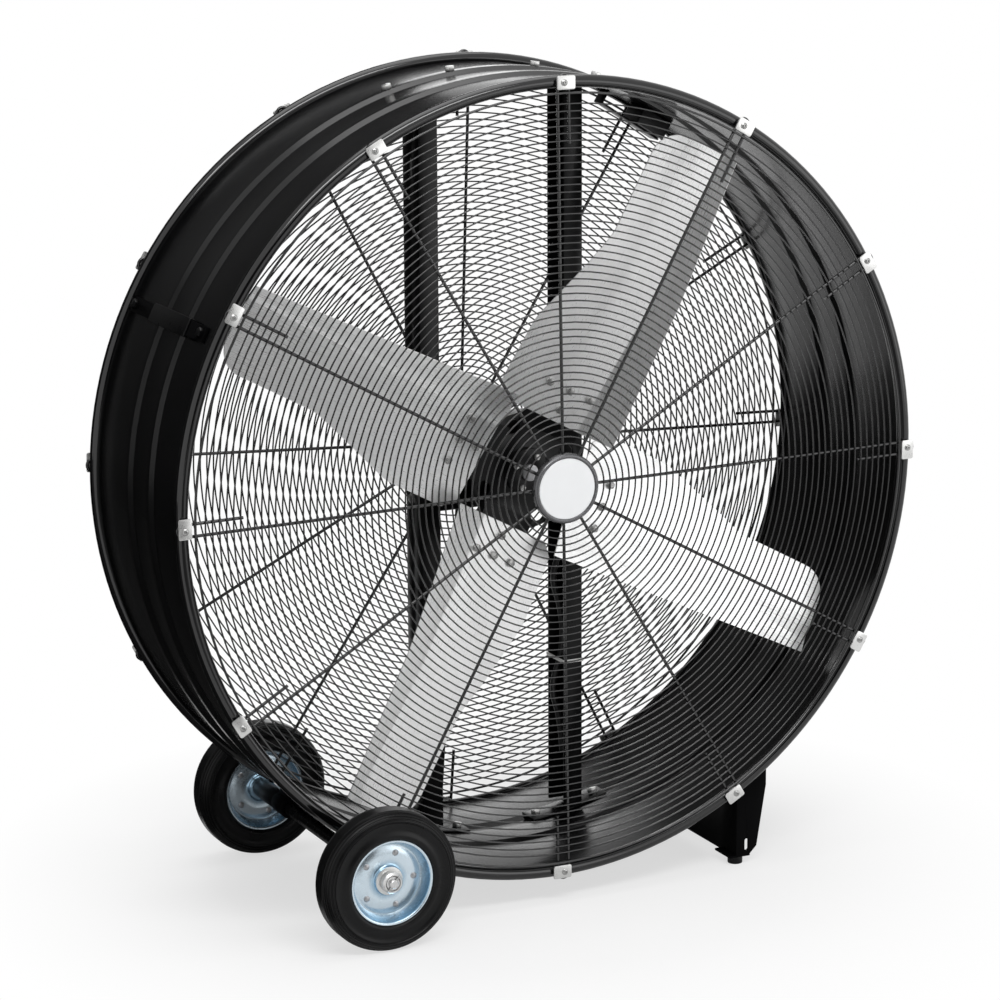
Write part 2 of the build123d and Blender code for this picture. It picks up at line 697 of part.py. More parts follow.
def cable_route():
    """Straight runs joined by tangent arcs, each arc as large as its two runs allow."""
    start = gland_end()
    angle = radians(GLAND_ANGLE)
    second = start + Vector(cos(angle), 0, sin(angle)) * CABLE_FIRST_RUN
    points = [start, second] + [Vector(POST_X, POST_Y, FAN_Z) + Vector(*p) for p in CABLE_POINTS]
    edges, here = [], points[0]
    for before, corner, after in zip(points, points[1:], points[2:]):
        arrive, leave = corner - before, after - corner
        turn = radians(arrive.get_angle(leave))
        trim = CABLE_ARC_SHARE * min(arrive.length, leave.length)
        radius = trim / tan(turn / 2)
        print("cable arc radius", round(radius, 1))
        enter = corner - arrive.normalized() * trim
        leave_at = corner + leave.normalized() * trim
        bulge = (leave.normalized() - arrive.normalized()).normalized()
        middle = corner + bulge * (radius / cos(turn / 2) - radius)
        edges += [Line(here, enter), ThreePointArc(enter, middle, leave_at)]
        here = leave_at
    return Wire(edges + [Line(here, points[-1])])


def motor_cable():
    route = cable_route()
    start = Plane(origin=route @ 0, z_dir=route % 0)
    section = RegularPolygon(CABLE_RADIUS, CABLE_SIDES)
    cable = sweep(start * section, path=route)
    share = cable.volume / (section.area * route.length)
    print("cable length", round(route.length, 1), "volume share", round(share, 4))
    return cable


def cable_tie():
    """Band round the right post."""
    inner, outer = POST_X - POST_WIDTH / 2, POST_X + POST_WIDTH / 2
    front, back = POST_Y - POST_DEPTH / 2, POST_Y + POST_DEPTH / 2
    height = (TIE_Z - TIE_HEIGHT / 2, TIE_Z + TIE_HEIGHT / 2)
    band = box((inner - TIE_SHEET, outer + TIE_SHEET), (front - TIE_SHEET, back + TIE_SHEET), height)
    return band - box((inner, outer), (front, back), (height[0] - OVER, height[1] + OVER))


# ---- switch box ----
def switch_box():
    outer = DRUM_INSIDE - FIT
    half = BOX_LENGTH / 2
    drop = outer - sqrt(outer ** 2 - half ** 2)
    block = box((outer - drop - BOX_HEIGHT, outer - drop), (BOX_Y - BOX_DEPTH / 2, BOX_Y + BOX_DEPTH / 2),
                (-half, half))
    return about_fan(block, BOX_ANGLE)


def switch_box_strap():
    """Flat strap under the box with one end turned up to the sheet."""
    outer = DRUM_INSIDE - FIT
    half = BOX_LENGTH / 2
    seat = sqrt(outer ** 2 - half ** 2) - BOX_HEIGHT
    depth = (BOX_Y - STRAP_DEPTH / 2, BOX_Y + STRAP_DEPTH / 2)
    strap = box((seat - STRAP_SHEET, seat), depth, (-half, STRAP_LENGTH - half))
    end = STRAP_LENGTH - half
    top = sqrt(outer ** 2 - end ** 2) - FIT
    strap += box((seat - STRAP_SHEET, top), depth, (end - STRAP_SHEET, end))
    return about_fan(strap, BOX_ANGLE)


# ---- carrying strap ----
def handle_line(lift):
    """Points (height above the sheet, y) of one face of the strap."""
    front, back = HANDLE_FRONT + HANDLE_FRONT_FOOT, HANDLE_BACK - HANDLE_BACK_FOOT
    return [
        (lift, HANDLE_FRONT), (lift, front), (lift + HANDLE_RISE, front + HANDLE_RAMP),
        (lift + HANDLE_RISE, back - HANDLE_RAMP), (lift, back), (lift, HANDLE_BACK),
    ]


def handle_strap():
    base = DRUM_RADIUS + FIT
    lower = [(base + r, y) for r, y in handle_line(0)]
    upper = [(base + r, y) for r, y in handle_line(HANDLE_SHEET)]
    strap = extrude(outline(lower + upper[::-1]), HANDLE_WIDTH / 2, both=True)
    return about_fan(strap, HANDLE_ANGLE)


def handle_grip():
    """Sleeve round the raised part of the strap."""
    base = DRUM_RADIUS + FIT + HANDLE_RISE
    front = HANDLE_FRONT + HANDLE_FRONT_FOOT + HANDLE_RAMP + GRIP_END_GAP
    back = HANDLE_BACK - HANDLE_BACK_FOOT - HANDLE_RAMP - GRIP_END_GAP
    half = HANDLE_WIDTH / 2
    sleeve = box((base - GRIP_WALL, base + HANDLE_SHEET + GRIP_WALL), (front, back),
                 (-half - GRIP_WALL, half + GRIP_WALL))
    sleeve -= box((base, base + HANDLE_SHEET), (front - OVER, back + OVER), (-half, half))
    return about_fan(sleeve, HANDLE_ANGLE)


def handle_bolts():
    bolts = []
    for y in (HANDLE_FRONT + HANDLE_FRONT_FOOT / 2, HANDLE_BACK - HANDLE_FRONT_FOOT / 2):
        bolts.append(wall_bolt(HANDLE_ANGLE, y, DRUM_RADIUS + HANDLE_SHEET))
    return group(bolts, "handle_bolts")


# ---- wheels ----
def at_wheel(part, side):
    return Pos(WHEEL_X, side * WHEEL_Y, WHEEL_Z) * part


def tyre():
    inner = RIM_RADIUS + FIT
    shoulder = TYRE_HALF_WIDTH - TYRE_CHAMFER
    return turned([
        (inner, -TYRE_HALF_WIDTH), (TYRE_RADIUS - TYRE_CHAMFER, -TYRE_HALF_WIDTH),
        (TYRE_RADIUS, -shoulder), (TYRE_RADIUS, shoulder),
        (TYRE_RADIUS - TYRE_CHAMFER, TYRE_HALF_WIDTH), (inner, TYRE_HALF_WIDTH),
    ])


def wheel_disc():
    """Two pressed discs back to back, dished, with a rim lip and a collar for the axle."""
    wheel = faceted(RIM_RADIUS, -RIM_HALF_WIDTH, RIM_HALF_WIDTH, RIM_RADIUS - RIM_LIP)
    wheel += faceted(RIM_RADIUS - RIM_LIP / 2, -DISC_HALF_SHEET, DISC_HALF_SHEET)
    wheel += faceted(HUB_COLLAR_RADIUS, -HUB_COLLAR_HALF, HUB_COLLAR_HALF)
    return wheel - disc(AXLE_RADIUS + SLIDE_FIT, -RIM_HALF_WIDTH, RIM_HALF_WIDTH)


def wheel_rivets(side, name):
    head = RegularPolygon(RIVET_RADIUS, RIVET_SIDES)
    rivets = []
    for face in (-1, 1):
        front = face * DISC_HALF_SHEET if face > 0 else -DISC_HALF_SHEET - RIVET_HEAD
        for k in range(RIVETS):
            place = Rot(0, 360 / RIVETS * k, 0) * Pos(RIVET_CIRCLE, 0, 0)
            rivets.append(at_wheel(place * upright(head, front, front + RIVET_HEAD), side))
    return group(rivets, name)


# ---- axle ----
def axle():
    return Pos(WHEEL_X, 0, WHEEL_Z) * disc(AXLE_RADIUS, -AXLE_END, AXLE_END)


def axle_bracket(side):
    """Curved foot outside the drum, a web and a sleeve round the axle."""
    depth = sorted((side * AXLE_BRACKET_Y - AXLE_BRACKET_DEPTH / 2,
                    side * AXLE_BRACKET_Y + AXLE_BRACKET_DEPTH / 2))
    base = DRUM_RADIUS + FIT
    bracket = wall_plate(base, AXLE_BRACKET_SHEET, AXLE_ANGLE, AXLE_BRACKET_SPAN, depth)
    half = AXLE_BRACKET_WEB / 2
    web = box((base + AXLE_BRACKET_SHEET / 2, AXLE_REACH), depth, (-half, half))
    bore = AXLE_RADIUS + SLIDE_FIT
    sleeve = Pos(AXLE_REACH, 0, 0) * disc(bore + AXLE_SLEEVE_WALL, depth[0], depth[1])
    bracket += about_fan(web + sleeve, AXLE_ANGLE)
    cut = Pos(AXLE_REACH, 0, 0) * disc(bore, depth[0] - OVER, depth[1] + OVER)
    return bracket - about_fan(cut, AXLE_ANGLE)


def axle_bracket_bolts():
    turn = degrees(AXLE_BOLT_SPREAD / DRUM_RADIUS)
    bolts = []
    seat = DRUM_RADIUS + FIT + AXLE_BRACKET_SHEET
    for y in (-AXLE_BRACKET_Y, AXLE_BRACKET_Y):
        bolts += [wall_bolt(place, y, seat) for place in (AXLE_ANGLE - turn, AXLE_ANGLE + turn)]
    return group(bolts, "axle_bracket_bolts")


def axle_spacers():
    """Tubes on the axle between each bracket and its wheel."""
    start = AXLE_BRACKET_Y + AXLE_BRACKET_DEPTH / 2
    end = WHEEL_Y - HUB_COLLAR_HALF - FIT
    bore = AXLE_RADIUS + SLIDE_FIT
    tube = disc(bore + SPACER_WALL, start, end, bore)
    tubes = [tube, mirror(tube, about=Plane.XZ)]
    return group([Pos(WHEEL_X, 0, WHEEL_Z) * t for t in tubes], "axle_spacers")


def axle_end_rings(plan, start, length, name):
    """A pair of washers or nuts on the two ends of the axle."""
    ring = upright(plan - Circle(AXLE_RADIUS + SLIDE_FIT), start, start + length)
    rings = [ring, mirror(ring, about=Plane.XZ)]
    return group([Pos(WHEEL_X, 0, WHEEL_Z) * r for r in rings], name)


# ---- foot ----
def foot_bracket():
    """Folded side plate with a flange at each end, pads on the drum and plates over the feet."""
    plate = (FOOT_X, FOOT_X + FOOT_SHEET)
    foot = box(plate, (-FOOT_END, FOOT_END), (FOOT_BOTTOM, FOOT_TOP))
    pad_start = FOOT_END - FOOT_PAD_DEPTH
    middle = sum(FOOT_PAD_ANGLES) / 2
    half = radians(abs(FOOT_PAD_ANGLES[0] - FOOT_PAD_ANGLES[1]) / 2) * DRUM_RADIUS + FOOT_PAD_REACH
    for side in (-1, 1):
        span = sorted((side * pad_start, side * FOOT_END))
        foot += box(plate, span, (FOOT_BOTTOM, FOOT_BLANK_TOP))
        face = sorted((side * (FOOT_END - FOOT_SHEET), side * FOOT_END))
        foot += foot_flange(face)
        foot += box((RUBBER_X - RUBBER_PLATE / 2, RUBBER_X + RUBBER_PLATE / 2), span,
                    (FOOT_BOTTOM, FOOT_BOTTOM + FOOT_SHEET))
    base = DRUM_RADIUS + FIT
    foot -= about_fan(disc(base + FOOT_SHEET / 2, -FOOT_END - OVER, FOOT_END + OVER))
    for side in (-1, 1):
        span = sorted((side * pad_start, side * FOOT_END))
        foot += wall_plate(base, FOOT_SHEET, middle, half, span)
    return foot


def foot_flange(y_span):
    outer = FOOT_X + FOOT_FLANGE_BOTTOM
    face = outline([
        (FOOT_X, FOOT_BOTTOM), (outer - FOOT_FLANGE_CHAMFER, FOOT_BOTTOM),
        (outer, FOOT_BOTTOM + FOOT_FLANGE_CHAMFER), (FOOT_X + FOOT_FLANGE_TOP, FOOT_TOP),
        (FOOT_X + FOOT_FLANGE_TOP, FOOT_BLANK_TOP), (FOOT_X, FOOT_BLANK_TOP),
    ])
    slot = Pos(FOOT_X + FOOT_FLANGE_BOTTOM / 2, FOOT_BOTTOM + FOOT_SLOT_HEIGHT) * Rot(0, 0, 90)
    face -= slot * SlotOverall(FOOT_SLOT_HEIGHT, FOOT_SLOT_WIDTH)
    return upright(face, y_span[0], y_span[1])


def foot_bolts():
    seat = DRUM_RADIUS + FIT + FOOT_SHEET
    bolts = []
    for y in (-FOOT_BOLT_Y, FOOT_BOLT_Y):
        bolts += [wall_bolt(angle, y, seat) for angle in FOOT_PAD_ANGLES]
    return group(bolts, "foot_bracket_bolts")


def rubber_feet():
    foot = extrude(Circle(RUBBER_RADIUS), FOOT_BOTTOM)
    return group([Pos(RUBBER_X, y, 0) * foot for y in (-RUBBER_Y, RUBBER_Y)], "rubber_feet")


# ---- write the pieces ----
def drum_pieces():
    yield "drum_shell", drum_shell()
    yield "front_guard_spokes", front_spokes()
    yield "front_guard_rings", front_rings()
    yield "rear_guard_spokes", rear_spokes()
    yield "rear_guard_rings", rear_rings()
    yield "rear_guard_inner_ring", rear_ring(FIRST_RING)
    yield "front_clip_plates", clip_plates(-1, 0.0, "front_clip_plates")
    yield "front_clip_screws", clip_screws(-1, 0.0, "front_clip_screws")
    yield "rear_clip_plates", clip_plates(1, REAR_GUARD_TURN, "rear_clip_plates")
    yield "rear_clip_screws", clip_screws(1, REAR_GUARD_TURN, "rear_clip_screws")
    yield "badge_ring", badge_ring()
    yield "badge_face", badge_face()
    yield "switch_box", switch_box()
    yield "switch_box_strap", switch_box_strap()
    yield "handle_strap", handle_strap()
    yield "handle_grip", handle_grip()
    yield "handle_bolts", handle_bolts()


def motor_pieces():
    post = post_right()
    yield "post_right", post
    yield "post_left", mirrored(post)
    yield "post_brackets_top", post_brackets(1, "post_brackets_top")
    yield "post_brackets_bottom", post_brackets(-1, "post_brackets_bottom")
    yield "post_bolts", post_bolts()
    yield "motor_cross_bars", cross_bars()
    yield "motor_bolts", motor_bolts()
    yield "motor_body", motor_body()
    yield "motor_front_cap", motor_front_cap()
    yield "cable_gland", cable_gland()
    yield "motor_cable", motor_cable()
    yield "cable_tie", cable_tie()


def rotor_pieces():
    yield "motor_shaft", motor_shaft()
    yield "hub_spider", hub_spider()
    yield "hub_bolts", hub_bolts()
    yield "blade_bolts", blade_bolts()
    blade = blade_at_zero()
    for k in range(BLADES):
        yield f"blade_{k + 1}", about_fan(blade, FIRST_BLADE_ANGLE + 360 / BLADES * k)


def carriage_pieces():
    washer = WHEEL_Y + HUB_COLLAR_HALF + FIT
    nut = washer + WASHER_SHEET
    yield "axle", axle()
    for side, name in ((-1, "front"), (1, "rear")):
        yield f"{name}_axle_bracket", axle_bracket(side)
        yield f"{name}_tyre", at_wheel(tyre(), side)
        yield f"{name}_wheel_disc", at_wheel(wheel_disc(), side)
        yield f"{name}_wheel_rivets", wheel_rivets(side, f"{name}_wheel_rivets")
    yield "axle_bracket_bolts", axle_bracket_bolts()
    yield "axle_spacers", axle_spacers()
    yield "axle_washers", axle_end_rings(Circle(WASHER_RADIUS), washer, WASHER_SHEET, "axle_washers")
    nut_plan = RegularPolygon(AXLE_NUT_ACROSS / sqrt(3), 6)
    yield "axle_nuts", axle_end_rings(nut_plan, nut, AXLE_NUT_LENGTH, "axle_nuts")
    yield "foot_bracket", foot_bracket()
    yield "foot_bracket_bolts", foot_bolts()
    yield "rubber_feet", rubber_feet()


os.makedirs("parts", exist_ok=True)
for pieces in (drum_pieces, motor_pieces, rotor_pieces, carriage_pieces):
    for node, shape in pieces():
        export_step(shape, f"parts/{node}.step")
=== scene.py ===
"""Looks and fine detail of a drum fan on two wheels, built round its packed parts.

Sizes are in metres in the frame of the parts: x to the right, y to the back, z up,
with the floor at z = 0. The fan axis lies along y. Angles round it are counted from
+x towards +z.
"""

import json
from math import atan2, ceil, cos, pi, radians, sin, sqrt

import bmesh
import bpy
from mathutils import Matrix, Quaternion, Vector

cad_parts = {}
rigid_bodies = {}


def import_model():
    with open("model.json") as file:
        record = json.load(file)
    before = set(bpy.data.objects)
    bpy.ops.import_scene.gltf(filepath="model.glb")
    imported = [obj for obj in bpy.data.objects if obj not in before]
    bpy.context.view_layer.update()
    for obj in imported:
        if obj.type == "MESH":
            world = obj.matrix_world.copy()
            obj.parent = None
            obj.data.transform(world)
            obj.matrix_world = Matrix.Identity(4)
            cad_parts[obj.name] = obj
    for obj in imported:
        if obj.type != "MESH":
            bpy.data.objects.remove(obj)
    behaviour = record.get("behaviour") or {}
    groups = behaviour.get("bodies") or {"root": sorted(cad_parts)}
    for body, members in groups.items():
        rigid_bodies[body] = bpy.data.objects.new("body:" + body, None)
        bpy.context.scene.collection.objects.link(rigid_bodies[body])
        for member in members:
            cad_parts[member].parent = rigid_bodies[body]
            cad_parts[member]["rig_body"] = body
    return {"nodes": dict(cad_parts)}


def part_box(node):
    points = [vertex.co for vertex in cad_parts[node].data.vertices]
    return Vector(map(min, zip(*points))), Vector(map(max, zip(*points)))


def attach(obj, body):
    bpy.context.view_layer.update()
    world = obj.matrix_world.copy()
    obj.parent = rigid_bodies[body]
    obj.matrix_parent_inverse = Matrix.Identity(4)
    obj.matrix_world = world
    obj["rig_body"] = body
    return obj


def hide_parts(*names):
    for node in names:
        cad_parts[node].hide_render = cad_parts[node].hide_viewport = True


bl_info = {
    "name": "Drum fan",
    "version": (1, 0, 0),
    "blender": (4, 2, 0),
    "location": "View3D > Sidebar > Drum fan",
    "description": "Builds the wire guards, blades, wheels and finishes of a drum fan round its packed parts",
    "category": "Object",
}

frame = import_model()

ROOT = "root"
WHEELS = ("front", "rear")
X, Y = 0, 1
Y_AXIS = Vector((0, 1, 0))


# ---- places read from the frame ----
def centre(node):
    """Middle of a node's box."""
    low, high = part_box(node)
    return (low + high) / 2


def span(node, axis):
    """Lowest and highest value of a node along one axis."""
    low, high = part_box(node)
    return low[axis], high[axis]


def radius_of(node):
    """Half of a round node's width."""
    low, high = span(node, X)
    return (high - low) / 2


def axis_of(node):
    """Where a round node's axis crosses y = 0."""
    middle = centre(node)
    return Vector((middle.x, 0, middle.z))


FAN = axis_of("drum_shell")
WHEEL_CENTRE = {side: centre(f"{side}_wheel_disc") for side in WHEELS}
SPOKE_FRONT, SPOKE_BACK = span("front_guard_spokes", Y)


# ---- sizes a user may change ----
def kind(maker, **limits):
    """Maker of one kind of property, from its name, its description and its default."""
    return lambda name, text, default: maker(name=name, description=text, default=default, **limits)


length = kind(bpy.props.FloatProperty, min=0.0, subtype="DISTANCE", unit="LENGTH", precision=5)
share = kind(bpy.props.FloatProperty, min=0.0, max=1.0, subtype="FACTOR")
turn = kind(bpy.props.FloatProperty, subtype="ANGLE", unit="ROTATION")
focal = kind(bpy.props.FloatProperty, min=1.0)
count = kind(bpy.props.IntProperty, min=1)
place = kind(bpy.props.FloatVectorProperty, subtype="XYZ")
colour = kind(bpy.props.FloatVectorProperty, min=0.0, max=1.0, size=3, subtype="COLOR")


class DrumFanDrumSizes(bpy.types.PropertyGroup):
    """Rolled sheet of the drum."""

    radius: length("Radius", "Outside of the drum's sheet", 0.558)
    sheet: length("Sheet", "Thickness of the sheet", 0.0016)
    rim: length("Rim", "Middle of each bead, in front of and behind the drum's middle", 0.1652)
    bead: length("Bead", "Radius of the rolled bead", 0.009)
    bead_out: length("Bead offset", "Bead's middle outside the sheet", 0.003)
    rib: length("Rib", "Middle of each swaged rib from the drum's middle", 0.040)
    rib_width: length("Rib width", "Width of a rib at its foot", 0.032)
    rib_top: length("Rib top", "Width of a rib at its top", 0.014)
    rib_height: length("Rib height", "Height of a rib over the sheet", 0.005)
    bend: length("Bend", "Rounding of the sheet where a rib begins and ends", 0.0035)
    steps: count("Steps", "Pieces that the drum's circle is made of", 168)


class DrumFanGuardSizes(bpy.types.PropertyGroup):
    """Wire guards."""

    ring_wire: length("Ring wire", "Thickness of the rings' wire", 0.0023)
    rim_wire: length("Rim wire", "Thickness of the outermost ring's wire", 0.0036)
    spoke_wire: length("Spoke wire", "Thickness of the spokes' wire", 0.0046)
    weld: length("Weld", "How far a ring is sunk into the spokes", 0.0002)
    pitch: length("Ring pitch", "From one ring to the next", 0.010)
    first_ring: length("First ring", "Radius of the innermost ring", 0.062)
    rim_ring: length("Rim ring", "Radius of the outermost ring", 0.5465)
    rings: count("Rings", "Rings of the even pattern", 48)
    spokes: count("Spokes", "Hairpin spokes of each guard", 12)
    leg_gap: length("Leg gap", "Between the two legs of a hairpin", 0.0168)
    tip: length("Tip", "Where a hairpin turns round its screw", 0.5705)
    short_leg: length("Short leg", "Radius where the short leg ends", 0.477)
    long_leg: length("Long leg", "Radius where the long leg ends", 0.045)
    dish: length("Dish", "How far the rear guard is drawn in", 0.018)
    rear_turn: turn("Rear turn", "Turn of the rear guard against the front one", radians(-2.0))


class DrumFanClipSizes(bpy.types.PropertyGroup):
    """Clips on both rims."""

    circle: length("Circle", "How far outside the drum's sheet the screws stand", 0.0025)
    along: length("Along", "Length of a clip along the rim", 0.028)
    across: length("Across", "Width of a clip across the rim", 0.019)
    shift: length("Shift", "How far the clip's middle lies beside its screw", 0.003)
    corner: length("Corner", "Rounding of a clip's corners", 0.0028)
    edge: length("Edge", "Rounding of a clip's edges", 0.0005)
    screw: length("Screw", "Radius of a screw's head", 0.0046)


class DrumFanBladeSizes(bpy.types.PropertyGroup):
    """Rotor."""

    blades: count("Blades", "Number of blades", 4)
    first_angle: turn("First blade", "Direction of the first blade", radians(61.5))
    edge: length("Edge", "Rounding of the sheet's edges", 0.0005)
    hub_edge: length("Hub edge", "Rounding of the hub's edges", 0.0012)


class DrumFanWheelSizes(bpy.types.PropertyGroup):
    """Rubber tyres on pressed discs."""

    tyre: length("Tyre", "Radius of the tyre", 0.100)
    half_width: length("Half width", "Half of the tyre's width", 0.025)
    shoulder: length("Shoulder", "Rounding of the tyre's shoulder", 0.0155)
    groove: length("Groove", "Depth of the grooves in the shoulder", 0.0010)
    grooves: count("Grooves", "Grooves round each shoulder", 6)
    rim: length("Rim", "Radius of the disc's lip", 0.061)
    wall: length("Wall", "Inside of the disc's lip", 0.0572)
    lip: length("Lip", "Edge of the disc's lip from the wheel's middle", 0.022)
    flat: length("Flat", "Depth of the disc's flat from the wheel's middle", 0.004)
    collar: length("Collar", "Radius of the collar's foot", 0.0245)
    cap: length("Cap", "Radius of the cap on each end of the axle", 0.015)
    rivets: count("Rivets", "Rivets on each disc", 5)
    rivet_circle: length("Rivet circle", "Radius of the circle that the rivets lie on", 0.039)
    black_half: length("Painted axle", "Half of the painted length of the axle", 0.205)


class DrumFanFinish(bpy.types.PropertyGroup):
    """Colours."""

    paint: colour("Paint", "Black paint of the drum and the frame", (0.002, 0.002, 0.0022))
    wire: colour("Wire", "Black coating of the guards", (0.002, 0.002, 0.0022))
    rubber: colour("Rubber", "Tyres and feet", (0.0025, 0.0025, 0.0027))
    plastic: colour("Plastic", "Switch box and cable gland", (0.014, 0.014, 0.015))
    sheath: colour("Sheath", "Outside of the motor cable", (0.012, 0.012, 0.012))
    sheet: colour("Sheet", "Bare aluminium of the blades", (0.95, 0.95, 0.95))
    zinc: colour("Zinc", "Bright zinc of clips and screws", (0.70, 0.70, 0.69))
    blue_zinc: colour("Blue zinc", "Passivated zinc of the wheel discs", (0.62, 0.72, 0.79))
    deep_blue: colour("Deep blue", "Passivated zinc where the disc is drawn deepest", (0.22, 0.38, 0.52))
    ground: colour("Ground steel", "Motor shaft and rivets", (0.42, 0.42, 0.43))
    rod: colour("Rod", "Bare ends of the axle", (0.6, 0.6, 0.6))
    # The cup's dark tone is painted shade: the metal round the badge is bright, made dark to show the shade
    # round the badge's face
    cup: colour("Cup", "Dark metal round the badge", (0.13, 0.13, 0.135))
    badge: colour("Badge", "Plain face of the badge", (0.84, 0.85, 0.86))
    nylon: colour("Nylon", "Cable tie", (0.82, 0.82, 0.80))


class DrumFanStageSizes(bpy.types.PropertyGroup):
    """Camera, floor and lights."""

    camera: place("Camera", "Where the camera stands", (-2.1335, -4.3348, 1.6971))
    aim: place("Aim", "Point that the camera looks at", (-0.0117, 0.0, 0.5531))
    roll: turn("Roll", "Turn of the camera about its own line of sight", radians(-0.292))
    lens: focal("Lens", "Focal length for a sensor 36 mm wide", 124.68)
    floor: length("Floor", "Half the side of the floor", 30.0)
    shadow_start: length("Shadow start", "Radius of the floor that takes the shadow", 0.42)
    shadow_end: length("Shadow end", "Radius where the floor is plain background", 0.80)
    shadow: share("Shadow", "How much of the shadow shows on the floor", 0.36)
    ambient: share("Ambient", "Strength of the light from all round", 0.40)


SETTINGS = {
    "drum_fan_drum": DrumFanDrumSizes,
    "drum_fan_guards": DrumFanGuardSizes,
    "drum_fan_clips": DrumFanClipSizes,
    "drum_fan_blades": DrumFanBladeSizes,
    "drum_fan_wheels": DrumFanWheelSizes,
    "drum_fan_finish": DrumFanFinish,
    "drum_fan_stage": DrumFanStageSizes,
}


# ---- shader nodes ----
def feed(tree, socket, value):
    """Give an input another node's output or a value of its own."""
    if isinstance(value, Socket):
        tree.links.new(value.output, socket)
    else:
        socket.default_value = value


class Socket:
    """Output of a shader node, with the sums that the finishes need."""

    def __init__(self, tree, output):
        self.tree = tree
        self.output = output

    def sum(self, operation, *values):
        node = self.tree.nodes.new("ShaderNodeMath")
        node.operation = operation
        for socket, value in zip(node.inputs, values):
            feed(self.tree, socket, value)
        return Socket(self.tree, node.outputs[0])

    def __add__(self, other):
        return self.sum("ADD", self, other)

    def __radd__(self, other):
        return self.sum("ADD", other, self)

    def __mul__(self, other):
        return self.sum("MULTIPLY", self, other)

    def __rmul__(self, other):
        return self.sum("MULTIPLY", other, self)

    def __abs__(self):
        return self.sum("ABSOLUTE", self)

    def root(self):
        return self.sum("SQRT", self)

    def sine(self):
        return self.sum("SINE", self)


class Nodes:
    """Shader nodes of a material or of the world."""

    def __init__(self, tree):
        self.tree = tree

    def node(self, kind, settings=None, output=0, numbered=None, **named):
        """Node with its settings, then its inputs.

        Inputs are fed by name, with underscores for spaces, or by number where names repeat.
        """
        node = self.tree.nodes.new(kind)
        for key, value in (settings or {}).items():
            setattr(node, key, value)
        for key, value in named.items():
            feed(self.tree, node.inputs[key.replace("_", " ")], value)
        for number, value in (numbered or {}).items():
            feed(self.tree, node.inputs[number], value)
        return Socket(self.tree, node.outputs[output])

    def outputs(self, kind, names, **named):
        """Several outputs of one node."""
        node = self.node(kind, **named).output.node
        return [Socket(self.tree, node.outputs[name]) for name in names]

    def rays(self):
        """Whether a ray comes from the camera, from a gloss and through glass."""
        return self.outputs("ShaderNodeLightPath", ("Is Camera Ray", "Is Glossy Ray", "Is Transmission Ray"))

    def mixed(self, factor, first, second):
        """Shader between two shaders."""
        return self.node("ShaderNodeMixShader", numbered={0: factor, 1: first, 2: second})

    def show(self, out, shader):
        """Put a shader on the tree's output node."""
        feed(self.tree, self.tree.nodes[out].inputs["Surface"], shader)


class Finish(Nodes):
    """Material whose pattern is drawn by shader nodes."""

    CLOUD = (0.3, 0.7)  # lowest and highest value that a noise mostly has

    def __init__(self, name):
        self.material = bpy.data.materials.new(name)
        self.material.use_nodes = True
        super().__init__(self.material.node_tree)
        self.shader = self.tree.nodes["Principled BSDF"]

    def set(self, **values):
        for key, value in values.items():
            feed(self.tree, self.shader.inputs[key.replace("_", " ")], value)

    def here(self, middle=(0, 0, 0), turned=(0, 0, 0), scale=(1, 1, 1)):
        """Object coordinates, centred on a point, turned and scaled."""
        spot = self.node("ShaderNodeTexCoord", output="Object")
        shifted = self.node("ShaderNodeMapping", {"vector_type": "TEXTURE"}, Vector=spot, Location=middle,
                            Rotation=turned)
        return self.node("ShaderNodeMapping", Vector=shifted, Scale=scale)

    def noise(self, where, scale, detail=2.0, roughness=0.5):
        return self.node("ShaderNodeTexNoise", Vector=where, Scale=scale, Detail=detail, Roughness=roughness)

    def ramp(self, value, low, high, start=0.0, end=1.0):
        """Value carried from one range to another and kept inside it."""
        ends = {"From_Min": start, "From_Max": end, "To_Min": low, "To_Max": high}
        return self.node("ShaderNodeMapRange", Value=value, **ends)

    def shade(self, factor, dark, light):
        """Colour between two colours."""
        ends = {0: factor, 6: (*dark, 1.0), 7: (*light, 1.0)}
        return self.node("ShaderNodeMix", {"data_type": "RGBA"}, output=2, numbered=ends)

    def clouded(self, cloud, dark, light):
        """Colour that drifts from one to the other with a noise."""
        return self.shade(self.ramp(cloud, 0.0, 1.0, *self.CLOUD), dark, light)

    def drifting(self, cloud, low, high):
        """Value that drifts with a noise."""
        return self.ramp(cloud, low, high, *self.CLOUD)

    def relief(self, height, strength, distance):
        self.set(Normal=self.node("ShaderNodeBump", Height=height, Strength=strength, Distance=distance))
        return self.material


def tinted(base, factor):
    """Colour made darker or lighter."""
    return tuple(min(1.0, part * factor) for part in base)


# ---- finishes ----
def gloss_paint(name, base, roughness, sheen, peel=0.06, coat=0.0):
    """Sprayed paint: a faint orange peel and a little uneven gloss."""
    finish = Finish(name)
    here = finish.here()
    cloud = finish.noise(here, scale=9.0, detail=3.0)
    skin = finish.noise(here, scale=260.0, detail=1.0)
    finish.set(
        Base_Color=finish.clouded(cloud, base, tinted(base, 1.35)),
        Roughness=finish.drifting(cloud, roughness - 0.04, roughness + 0.05),
        Specular_IOR_Level=sheen,
        Coat_Weight=coat,
        Coat_Roughness=0.12,
        Coat_IOR=1.8,
    )
    return finish.relief(skin, strength=peel, distance=0.0006)


